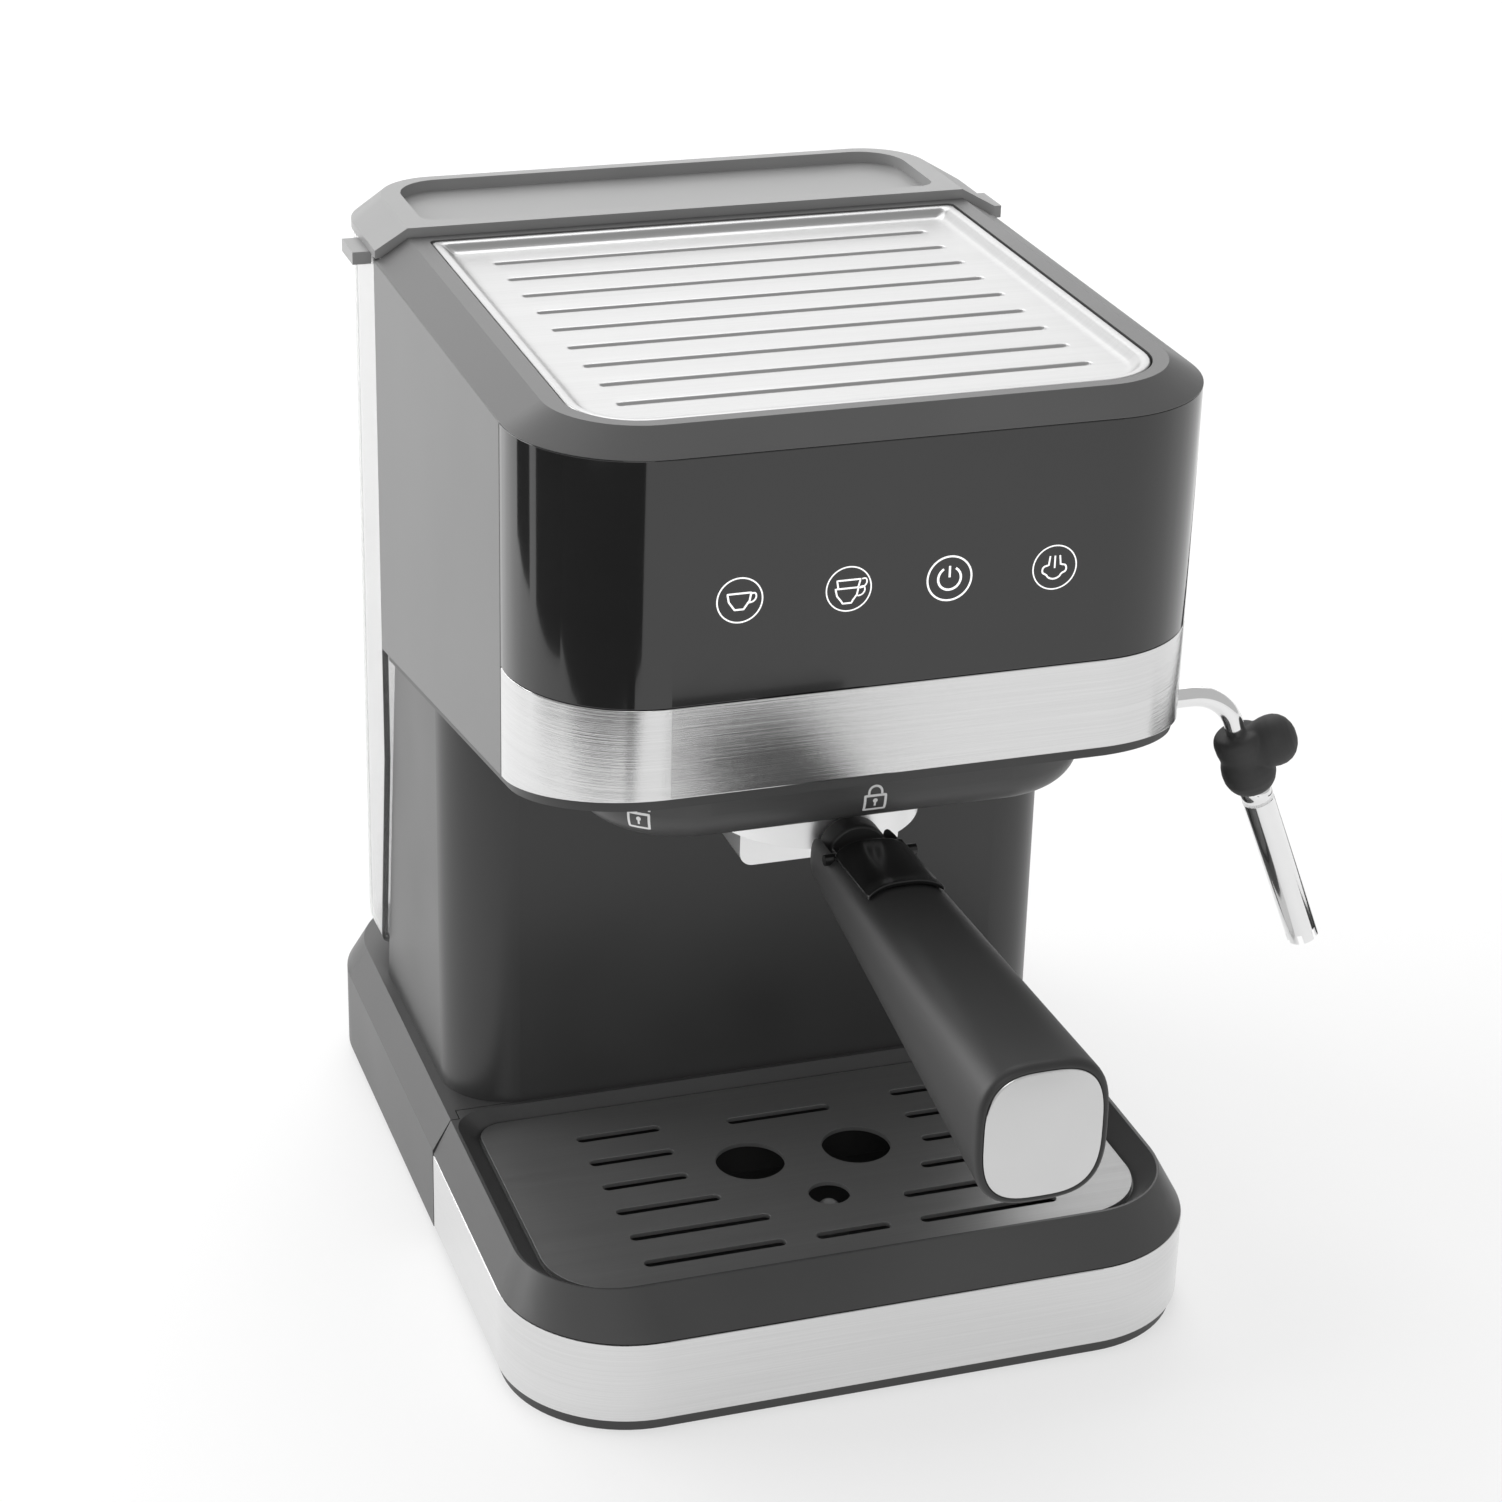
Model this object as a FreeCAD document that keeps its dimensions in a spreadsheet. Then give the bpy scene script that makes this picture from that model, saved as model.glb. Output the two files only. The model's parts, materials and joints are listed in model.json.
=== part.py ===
import FreeCAD, Part
import math
import os

import Sketcher
from FreeCAD import Placement, Rotation, Vector

# Pump espresso machine, millimetres. +Z is up, the front looks along -Y, and the
# origin is on the table under the centre of the base.
DIMENSIONS = [
    # base and drip tray
    ("base_half_width", 104.3), ("base_half_depth", 133.5), ("base_corner", 38.0),
    ("base_top", 40.3), ("base_side_top", 30.4), ("base_inset", 5.7),
    ("plate_low", 0.0), ("plate_high", 3.6), ("plate_inset", 1.5),
    ("seam_y", -18.6), ("band_high", 29.2), ("band_skin", 0.8), ("rim_front_inset", 12.4),
    ("tray_floor", 7.0), ("grill_top", 35.9), ("grill_thick", 1.4),
    ("grill_half_width", 90.7), ("grill_front", -114.4), ("grill_rear", -17.3),
    ("slot_width", 3.6), ("slot_pitch", 14.06), ("slot_first", -33.5), ("slot_outer", 63.3),
    ("cup_hole_x", 16.8), ("cup_hole_y", -59.2), ("cup_hole_radius", 10.4),
    ("float_y", -82.6), ("float_hole_radius", 6.2),
    # column
    ("column_half_width", 95.5), ("column_front", -13.6), ("column_corner", 20.0),
    ("column_rear_low", 76.6), ("column_rear_high", 55.0), ("column_skin", 2.5),
    # head
    ("head_half_width", 97.5), ("head_front", -116.0), ("head_rear", 67.4),
    ("head_corner", 36.0), ("head_seam", -77.7), ("under_rear", 158.7), ("under_front", 187.75),
    ("chin", 3.0), ("panel_low", 214.0), ("head_top", 283.3), ("panel_skin", 2.5),
    ("deck_top", 289.3), ("deck_inset", 10.2), ("deck_front_inset", 9.0), ("deck_rear", 65.9),
    ("icon_z", 242.8), ("icon_pitch", 29.3), ("icon_radius", 6.3),
    ("cup_plate_half_width", 81.6), ("cup_plate_front", -102.7), ("cup_plate_rear", 61.3),
    ("groove_first", 44.1), ("groove_pitch", 15.7), ("groove_half_length", 67.5),
    # brew group and filter holder
    ("group_y", -54.6), ("skirt_half_width", 74.0), ("skirt_front", -97.6), ("skirt_low", 163.0),
    ("holder_radius", 31.0), ("holder_low", 151.0), ("holder_high", 174.0), ("ear_radius", 36.2),
    ("spout_half_width", 24.0), ("spout_low", 137.5),
    ("clip_y", -104.0), ("clip_z", 157.6), ("clip_rear", -99.5), ("clip_end", -130.5),
    ("clip_top", 162.4), ("neck_z", 148.5), ("neck_radius", 4.4), ("handle_top", 160.6),
    ("handle_near", -86.2), ("handle_end", -230.4), ("handle_low", 142.9), ("handle_end_z", 141.7),
    # water tank and lid
    ("tank_half_width", 96.9), ("tank_front", 69.5), ("tank_rear", 120.5), ("tank_low", 48.0),
    ("tank_high", 283.5), ("tank_corner", 27.0), ("tank_wall", 2.2), ("tank_knee", 120.0),
    ("lid_low", 284.0), ("lid_top", 292.0), ("lid_front", 66.6), ("lid_rear", 121.0),
    ("lid_hinge_y", 123.2), ("lid_hinge_z", 285.5),
    # steam wand and steam knob
    ("wand_x", 88.0), ("wand_y", -57.6), ("wand_level", 171.3), ("wand_elbow_x", 127.5),
    ("wand_tube_radius", 3.0), ("wand_tilt", 21.8), ("knob_y", 0.0), ("knob_z", 240.0),
    # fastenings and ports
    ("foot_x", 82.0), ("foot_y", 98.0), ("post_x", 80.0), ("post_front_y", 4.0),
    ("post_rear_y", 100.0), ("outlet_y", 98.5), ("pump_x", -42.0), ("pump_y", 24.0),
    ("gland_x", 62.0), ("gland_z", 18.0),
]


class Size:
    """A length that carries its spreadsheet expression along with its value."""

    def __init__(self, value, text):
        self.value, self.text = value, text

    def __float__(self):
        return float(self.value)

    def __add__(self, other):
        return combine(self, other, "+", float(self) + float(other))

    def __sub__(self, other):
        return combine(self, other, "-", float(self) - float(other))

    def __mul__(self, other):
        return combine(self, other, "*", float(self) * float(other))

    def __radd__(self, other):
        return combine(other, self, "+", float(other) + float(self))

    def __rsub__(self, other):
        return combine(other, self, "-", float(other) - float(self))

    def __neg__(self):
        return Size(-self.value, "(-%s)" % self.text)


def combine(left, right, sign, value):
    texts = [item.text if isinstance(item, Size) else repr(float(item)) for item in (left, right)]
    return Size(value, "(%s %s %s)" % (texts[0], sign, texts[1]))


class Sizes:
    """The driving dimensions, one attribute for each spreadsheet alias."""


doc = FreeCAD.newDocument("EspressoMachine")
sheet = doc.addObject("Spreadsheet::Sheet", "Sizes")
S = Sizes()
for row, (alias, number) in enumerate(DIMENSIONS, start=1):
    sheet.set("A%d" % row, alias.replace("_", " "))
    sheet.set("B%d" % row, str(number))
    sheet.setAlias("B%d" % row, alias)
    setattr(S, alias, Size(number, "Sizes." + alias))
doc.recompute()
NODES = []


# ---------------------------------------------------------------- helpers
def put(obj, prop, size):
    """Bind a property to the sheet, or set it where the size is a plain number."""
    if isinstance(size, Size):
        obj.setExpression(prop, size.text)
    elif "." in prop:
        obj.setExpression(prop, repr(float(size)))
    else:
        setattr(obj, prop, size)


def node(obj, label):
    obj.Label = label
    NODES.append(obj)
    return obj


def new_body(label):
    return node(doc.addObject("PartDesign::Body", "Body"), label)


def sketch(body, role, offset=0.0):
    made = body.newObject("Sketcher::SketchObject", "Sketch")
    plane = [item for item in body.Origin.OriginFeatures if item.Role == role][0]
    made.AttachmentSupport = [(plane, "")]
    made.MapMode = "FlatFace"
    put(made, "AttachmentOffset.Base.z", offset)
    return made


def hold(sk, kind, *args):
    """Add a driving constraint whose last argument is its size."""
    index = sk.addConstraint(Sketcher.Constraint(kind, *args[:-1], float(args[-1])))
    if isinstance(args[-1], Size):
        sk.setExpression("Constraints[%d]" % index, args[-1].text)


def join(sk, kind, *args):
    sk.addConstraint(Sketcher.Constraint(kind, *args))


def segment(sk, start, end):
    return sk.addGeometry(Part.LineSegment(Vector(*start, 0), Vector(*end, 0)), False)


def rounded_rect(sk, x0, x1, y0, y1, radii=(0, 0, 0, 0)):
    """Rectangle with corner radii in the order low-left, low-right, high-right, high-left."""
    xs, ys = (float(x0), float(x1)), (float(y0), float(y1))
    corners = [(0, 0), (1, 0), (1, 1), (0, 1)]
    turns = [(-1, -1), (1, -1), (1, 1), (-1, 1)]
    steps = [(1, 0), (0, 1), (-1, 0), (0, -1)]
    reach = [float(r) for r in radii]
    lines = []
    for i in range(4):
        a, b, step = corners[i], corners[(i + 1) % 4], steps[i]
        start = (xs[a[0]] + step[0] * reach[i], ys[a[1]] + step[1] * reach[i])
        stop = (xs[b[0]] - step[0] * reach[(i + 1) % 4], ys[b[1]] - step[1] * reach[(i + 1) % 4])
        lines.append(segment(sk, start, stop))
        join(sk, "Horizontal" if i % 2 == 0 else "Vertical", lines[i])
    for i in range(4):
        before, after = lines[i - 1], lines[i]
        if reach[i] == 0:
            join(sk, "Coincident", before, 2, after, 1)
            continue
        centre = Vector(xs[corners[i][0]] - turns[i][0] * reach[i],
                        ys[corners[i][1]] - turns[i][1] * reach[i], 0)
        round_ = Part.ArcOfCircle(Part.Circle(centre, Vector(0, 0, 1), reach[i]),
                                  math.radians(180 + 90 * i), math.radians(270 + 90 * i))
        arc = sk.addGeometry(round_, False)
        join(sk, "Tangent", before, 2, arc, 1)
        join(sk, "Tangent", arc, 2, after, 1)
        hold(sk, "Radius", arc, radii[i])
    hold(sk, "DistanceY", -1, 1, lines[0], 1, y0)
    hold(sk, "DistanceX", -1, 1, lines[1], 1, x1)
    hold(sk, "DistanceY", -1, 1, lines[2], 1, y1)
    hold(sk, "DistanceX", -1, 1, lines[3], 1, x0)


def polygon(sk, points):
    count = len(points)
    flat = [(float(x), float(y)) for x, y in points]
    lines = [segment(sk, flat[i], flat[(i + 1) % count]) for i in range(count)]
    for i in range(count):
        join(sk, "Coincident", lines[i - 1], 2, lines[i], 1)
        hold(sk, "DistanceX", -1, 1, lines[i], 1, points[i][0])
        hold(sk, "DistanceY", -1, 1, lines[i], 1, points[i][1])


def circle(sk, x, y, radius):
    ring = sk.addGeometry(Part.Circle(Vector(float(x), float(y), 0), Vector(0, 0, 1), float(radius)), False)
    hold(sk, "Radius", ring, radius)
    hold(sk, "DistanceX", -1, 1, ring, 3, x)
    hold(sk, "DistanceY", -1, 1, ring, 3, y)


def slot(sk, x0, x1, y, width):
    """Straight slot along X with round ends, from x0 to x1 over all."""
    half = float(width) / 2
    left, right, level = float(x0) + half, float(x1) - half, float(y)
    low = segment(sk, (left, level - half), (right, level - half))
    high = segment(sk, (right, level + half), (left, level + half))
    ends = []
    for middle, start in ((right, -90), (left, 90)):
        round_ = Part.Circle(Vector(middle, level, 0), Vector(0, 0, 1), half)
        arc = Part.ArcOfCircle(round_, math.radians(start), math.radians(start + 180))
        ends.append(sk.addGeometry(arc, False))
    for one, other in ((low, ends[0]), (ends[0], high), (high, ends[1]), (ends[1], low)):
        join(sk, "Tangent", one, 2, other, 1)
    hold(sk, "Radius", ends[0], width * 0.5)
    hold(sk, "DistanceX", -1, 1, ends[0], 3, x1 - width * 0.5)
    hold(sk, "DistanceX", -1, 1, ends[1], 3, x0 + width * 0.5)
    hold(sk, "DistanceY", -1, 1, ends[0], 3, y)
    hold(sk, "DistanceY", -1, 1, ends[1], 3, y)


def pad(body, sk, length):
    made = body.newObject("PartDesign::Pad", "Pad")
    made.Profile = sk
    put(made, "Length", length)
    return made


def cut(body, sk, length):
    """Cut along the sketch's own normal, and make sure that something went."""
    doc.recompute()
    before = body.Shape.Volume
    made = body.newObject("PartDesign::Pocket", "Pocket")
    made.Profile = sk
    made.Reversed = True
    put(made, "Length", length)
    doc.recompute()
    if not body.Shape.Volume < before - 0.01:
        raise RuntimeError("nothing cut from " + body.Label)
    return made


def block(body, x, y, z, radii=(0, 0, 0, 0)):
    """Add an upright block; x, y and z are (low, high) pairs."""
    sk = sketch(body, "XY_Plane", z[0])
    rounded_rect(sk, x[0], x[1], y[0], y[1], radii)
    return pad(body, sk, z[1] - z[0])


def hollow(body, x, y, z, radii=(0, 0, 0, 0)):
    sk = sketch(body, "XY_Plane", z[0])
    rounded_rect(sk, x[0], x[1], y[0], y[1], radii)
    return cut(body, sk, z[1] - z[0])


def drill(body, x, y, radius, z):
    sk = sketch(body, "XY_Plane", z[0])
    circle(sk, x, y, radius)
    return cut(body, sk, z[1] - z[0])


def both(half):
    return (-half, half)


def loft(body, low, z_low, high, z_high, kind="PartDesign::AdditiveLoft"):
    """Straight-sided solid between two rounded rectangles, each given as (x, y, radii)."""
    sections = []
    for (x, y, radii), level in ((low, z_low), (high, z_high)):
        sk = sketch(body, "XY_Plane", level)
        rounded_rect(sk, x[0], x[1], y[0], y[1], radii)
        sections.append(sk)
    made = body.newObject(kind, "Loft")
    made.Profile = sections[0]
    made.Sections = [sections[1]]
    made.Ruled = True
    return made


def side_profile(body, points, x_low, width, action):
    """Pad or cut an outline of (y, z) points across the machine."""
    sk = sketch(body, "YZ_Plane", x_low)
    polygon(sk, points)
    return action(body, sk, width)


def under_points(drop, top):
    """Outline of what lies above the sloping underside, lowered by drop, up to top."""
    rise = (S.under_front - S.under_rear) * (1.0 / (float(S.head_rear) - float(S.head_front)))
    margin = 20.0
    rear_z = S.under_rear - rise * margin - drop
    front_z = S.under_front + rise * margin - drop
    rear_y, front_y = S.head_rear + margin, S.head_front - margin
    return [(rear_y, rear_z), (rear_y, top), (front_y, top), (front_y, front_z)]


def trim_above(body, drop):
    side_profile(body, under_points(drop, 300.0), -120.0, 240.0, cut)


def trim_below(body, drop):
    side_profile(body, under_points(drop, 120.0), -120.0, 240.0, cut)


def edges_where(body, test):
    doc.recompute()
    found = []
    for number, edge in enumerate(body.Shape.Edges, start=1):
        box = edge.BoundBox
        if test(box, edge):
            found.append("Edge%d" % number)
    return found


def soften(body, test, size, kind="Fillet"):
    names = edges_where(body, test)
    if not names:
        raise RuntimeError("no edge to soften on " + body.Label)
    made = body.newObject("PartDesign::" + kind, kind)
    made.Base = (made.BaseFeature, names)
    put(made, "Radius" if kind == "Fillet" else "Size", size)
    doc.recompute()
    return made


def upright(box, at_x, at_y):
    flat = box.XLength < 0.01 and box.YLength < 0.01
    return flat and any(abs(box.XMin - x) < 0.1 for x in at_x) and abs(box.YMin - at_y) < 0.1


AXES = {"z": Rotation(), "x": Rotation(Vector(0, 1, 0), 90), "y": Rotation(Vector(1, 0, 0), -90)}


def placed(obj, position, rotation):
    obj.Placement = Placement(Vector(*[float(item) for item in position]), rotation)
    for name, item in zip("xyz", position):
        if isinstance(item, Size):
            obj.setExpression("Placement.Base." + name, item.text)
    return obj


def rod(x, y, z, radius, length, axis="z", angle=360, start=0):
    """Cylinder from a point along +X, +Y or +Z; angle makes it a pie slice."""
    made = doc.addObject("Part::Cylinder", "Rod")
    put(made, "Radius", radius)
    put(made, "Height", length)
    made.Angle = angle
    return placed(made, (x, y, z), AXES[axis].multiply(Rotation(Vector(0, 0, 1), start)))


def brick(x, y, z):
    made = doc.addObject("Part::Box", "Brick")
    for prop, (low, high) in zip(("Length", "Width", "Height"), (x, y, z)):
        put(made, prop, high - low)
    return placed(made, (x[0], y[0], z[0]), Rotation())


def ball(x, y, z, radius):
    made = doc.addObject("Part::Sphere", "Ball")
    put(made, "Radius", radius)
    return placed(made, (x, y, z), Rotation())


def fuse(*parts):
    made = doc.addObject("Part::MultiFuse", "Fuse")
    made.Shapes = list(parts)
    return made


def minus(base, *tools):
    made = doc.addObject("Part::Cut", "Cut")
    made.Base = base
    made.Tool = tools[0] if len(tools) == 1 else fuse(*tools)
    return made


def group(*parts):
    made = doc.addObject("Part::Compound", "Group")
    made.Links = list(parts)
    return made


def tube_shape(points, bend, radius, bore=0.0):
    """Round tube along straight runs that are joined by tangent arcs of one bend radius."""
    route = [Vector(*[float(item) for item in point]) for point in points]
    edges, start = [], route[0]
    for before, corner, after in zip(route, route[1:], route[2:]):
        back, ahead = (before - corner).normalize(), (after - corner).normalize()
        half = back.getAngle(ahead) / 2
        reach = bend / math.tan(half)
        middle = corner + (back + ahead).normalize() * (bend / math.sin(half) - bend)
        first, last = corner + back * reach, corner + ahead * reach
        edges += [Part.LineSegment(start, first).toShape(), Part.Arc(first, middle, last).toShape()]
        start = last
    edges.append(Part.LineSegment(start, route[-1]).toShape())
    path = Part.Wire(edges)
    heading = route[1] - route[0]

    def swept(r):
        ring = Part.Wire(Part.Circle(route[0], heading, float(r)).toShape())
        return path.makePipeShell([ring], True, False)

    return swept(radius).cut(swept(bore)) if bore else swept(radius)


def feature(shape):
    made = doc.addObject("Part::Feature", "Shaped")
    made.Shape = shape
    return made


# ---------------------------------------------------------------- base
def make_base():
    corner = S.base_corner - S.plate_inset
    body = new_body("base_bottom_plate")
    block(body, both(S.base_half_width - S.plate_inset), both(S.base_half_depth - S.plate_inset),
          (S.plate_low, S.plate_high), (corner, corner, corner, corner))
    for x in both(S.foot_x):
        for y in both(S.foot_y):
            drill(body, x, y, 9.0, (S.plate_low, 1.5))
    node(group(*[rod(x, y, 0.0, 8.9, 1.5) for x in both(S.foot_x) for y in both(S.foot_y)]),
         "rubber_feet")

    body = new_body("base_shell")
    corner, top_corner = S.base_corner, S.base_corner - S.base_inset
    x, y = both(S.base_half_width), (S.seam_y, S.base_half_depth)
    top_x, top_y = both(S.base_half_width - S.base_inset), (S.seam_y, S.base_half_depth - S.base_inset)
    block(body, x, y, (S.plate_high, S.base_side_top), (0, 0, corner, corner))
    loft(body, (x, y, (0, 0, corner, corner)), S.base_side_top,
         (top_x, top_y, (0, 0, top_corner, top_corner)), S.base_top)
    hollow(body, both(S.column_half_width + 0.5), (S.seam_y - 1.0, S.column_front),
           (S.plate_high, S.base_top + 1.0))
    hollow(body, both(S.base_half_width - 9.0), (S.column_front + 2.5, S.base_half_depth - 9.0),
           (S.plate_high, S.base_top - 2.5), (4, 4, 26, 26))
    drill(body, 0.0, S.outlet_y, 7.0, (S.base_top - 4.0, S.base_top + 1.0))
    drill(body, S.pump_x, S.pump_y, 4.5, (S.base_top - 4.0, S.base_top + 1.0))
    sk = sketch(body, "XZ_Plane", -S.base_half_depth)
    circle(sk, S.gland_x, S.gland_z, 7.0)
    cut(body, sk, 12.0)
    for x_post in both(S.post_x):
        for y_post in (S.post_front_y, S.post_rear_y):
            sk = sketch(body, "XY_Plane", S.plate_high)
            circle(sk, x_post, y_post, 4.0)
            circle(sk, x_post, y_post, 1.6)
            pad(body, sk, S.base_top - S.plate_high - 2.5)
    posts = [(x, y) for x in both(S.post_x) for y in (S.post_front_y, S.post_rear_y)]
    node(group(*[rod(x, y, S.plate_high, 1.55, 16.0) for x, y in posts]), "base_screws")

    body = new_body("tank_plinth")
    block(body, both(S.tank_half_width - 8.0), (S.tank_front + 12.0, S.tank_rear - 5.0),
          (S.base_top + 0.02, S.tank_low - 0.3), (4, 4, 20, 20))
    drill(body, 0.0, S.outlet_y, 7.0, (S.base_top - 1.0, S.tank_low + 1.0))

    gland = fuse(rod(S.gland_x, S.base_half_depth - 8.5, S.gland_z, 6.9, 9.0, "y"),
                 rod(S.gland_x, S.base_half_depth + 0.05, S.gland_z, 9.0, 4.0, "y"))
    bore = rod(S.gland_x, S.base_half_depth - 10.0, S.gland_z, 3.6, 20.0, "y")
    node(minus(gland, bore), "cord_gland")


def make_tray():
    gap = 0.4
    body = new_body("drip_tray")
    x, y = both(S.base_half_width - 0.9), (-S.base_half_depth + 0.9, S.column_front - gap)
    corner = S.base_corner - 0.9
    block(body, x, y, (S.plate_high + gap, S.band_high + 0.3), (corner, corner, 0, 0))
    rim_x, rim_y = both(S.base_half_width - 0.2), (-S.base_half_depth + 0.2, S.column_front - gap)
    crest_x = both(S.base_half_width - S.base_inset)
    crest_y = (-S.base_half_depth + S.rim_front_inset, S.column_front - gap)
    crest_r, rim_r = S.base_corner - 9.0, S.base_corner - 0.2
    loft(body, (rim_x, rim_y, (rim_r, rim_r, 0, 0)), S.band_high + 0.3,
         (crest_x, crest_y, (crest_r, crest_r, 0, 0)), S.base_top)
    for side in (-1, 1):
        ear_x = (S.column_half_width + 0.2, S.base_half_width + 1.0)
        ear_x = ear_x if side > 0 else (-ear_x[1], -ear_x[0])
        hollow(body, ear_x, (S.seam_y - gap, S.column_front + 1.0), (S.plate_high, S.base_top + 1.0))
    well_x, well_y = both(S.grill_half_width + 0.4), (S.grill_front - 0.4, S.grill_rear + 0.3)
    lip_x = both(S.base_half_width - S.base_inset - 1.0)
    lip_y = (-S.base_half_depth + S.rim_front_inset + 1.0, S.grill_rear + 1.8)
    seat = S.grill_top - S.grill_thick
    loft(body, (well_x, well_y, (22, 22, 8, 8)), seat,
         (lip_x, lip_y, (27, 27, 10, 10)), S.base_top + 0.01, "PartDesign::SubtractiveLoft")
    hollow(body, both(S.grill_half_width - 2.5), (S.grill_front + 3.0, S.grill_rear - 3.0),
           (S.tray_floor, seat + 0.1), (20, 20, 6, 6))
    sk = sketch(body, "XY_Plane", S.tray_floor)
    circle(sk, 0.0, S.float_y, 8.2)
    circle(sk, 0.0, S.float_y, 6.7)
    pad(body, sk, 12.0)

    body = new_body("tray_steel_band")
    corner, inner = S.base_corner, S.base_corner - S.band_skin
    block(body, both(S.base_half_width), (-S.base_half_depth, S.seam_y - gap),
          (S.plate_high + 0.2, S.band_high), (corner, corner, 0, 0))
    hollow(body, both(S.base_half_width - S.band_skin), (-S.base_half_depth + S.band_skin, S.seam_y + 5.0),
           (S.plate_high, S.band_high + 1.0), (inner, inner, 0, 0))

    stem = rod(0.0, S.float_y, S.tray_floor + 19.0, 3.6, 4.0)
    cup = rod(0.0, S.float_y, S.tray_floor + 0.3, 6.3, 19.0)
    dome = ball(0.0, S.float_y, S.tray_floor + 22.8, 3.6)
    node(fuse(cup, stem, dome), "tray_float")


def make_grill():
    body = new_body("drip_grill")
    low = S.grill_top - S.grill_thick
    block(body, both(S.grill_half_width), (S.grill_front, S.grill_rear), (low, S.grill_top), (22, 22, 8, 8))
    sk = sketch(body, "XY_Plane", low)
    outer, width = S.slot_outer, S.slot_width
    for row, inner in enumerate((37.1, 37.1, 37.1, 31.5, 20.7, 20.7)):
        y = S.slot_first - S.slot_pitch * row
        slot(sk, -outer, -inner, y, width)
        slot(sk, inner, outer, y, width)
    slot(sk, -16.5, 16.5, S.slot_first - 2.3, width)
    slot(sk, -11.4, 11.4, S.slot_first - S.slot_pitch * 5.0, width)
    for x in both(S.cup_hole_x):
        circle(sk, x, S.cup_hole_y, S.cup_hole_radius)
    circle(sk, 0.0, S.float_y, S.float_hole_radius)
    cut(body, sk, S.grill_thick + 1.0)


# ---------------------------------------------------------------- column
def make_column():
    low, high = S.base_top, S.under_front + 8.0
    body = new_body("column_housing")
    corner, inner = S.column_corner, S.column_corner - S.column_skin
    block(body, both(S.column_half_width), (S.column_front, 92.0), (low, high), (corner, corner, 0, 0))
    hollow(body, both(S.column_half_width - S.column_skin), (S.column_front + S.column_skin, 93.0),
           (low, high), (inner, inner, 0, 0))
    rear = [(S.column_rear_low, low - 1.0), (110.0, low - 1.0), (110.0, 210.0),
            (S.column_rear_high - 5.0, 210.0)]
    side_profile(body, rear, -100.0, 200.0, cut)
    trim_above(body, S.chin)

    body = new_body("column_rear_cover")
    near, far = 0.4, 2.9
    outline = [(S.column_rear_low - far, low + 0.1), (S.column_rear_low - near, low + 0.1),
               (S.column_rear_high - 5.0 - near, 210.0), (S.column_rear_high - 5.0 - far, 210.0)]
    half = S.column_half_width - S.column_skin - 0.1
    side_profile(body, outline, -half, half + half, pad)
    trim_above(body, S.chin + 0.2)


# ---------------------------------------------------------------- head
def head_wrap(body, inset, skin, z, y_rear):
    """Front shell that wraps both front corners of the head, open at the back."""
    corner = S.head_corner - inset
    block(body, both(S.head_half_width - inset), (S.head_front + inset, y_rear), z, (corner, corner, 0, 0))
    inner = corner - skin
    hollow(body, both(S.head_half_width - inset - skin), (S.head_front + inset + skin, y_rear + 5.0),
           (z[0], z[1]), (inner, inner, 0, 0))


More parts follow.
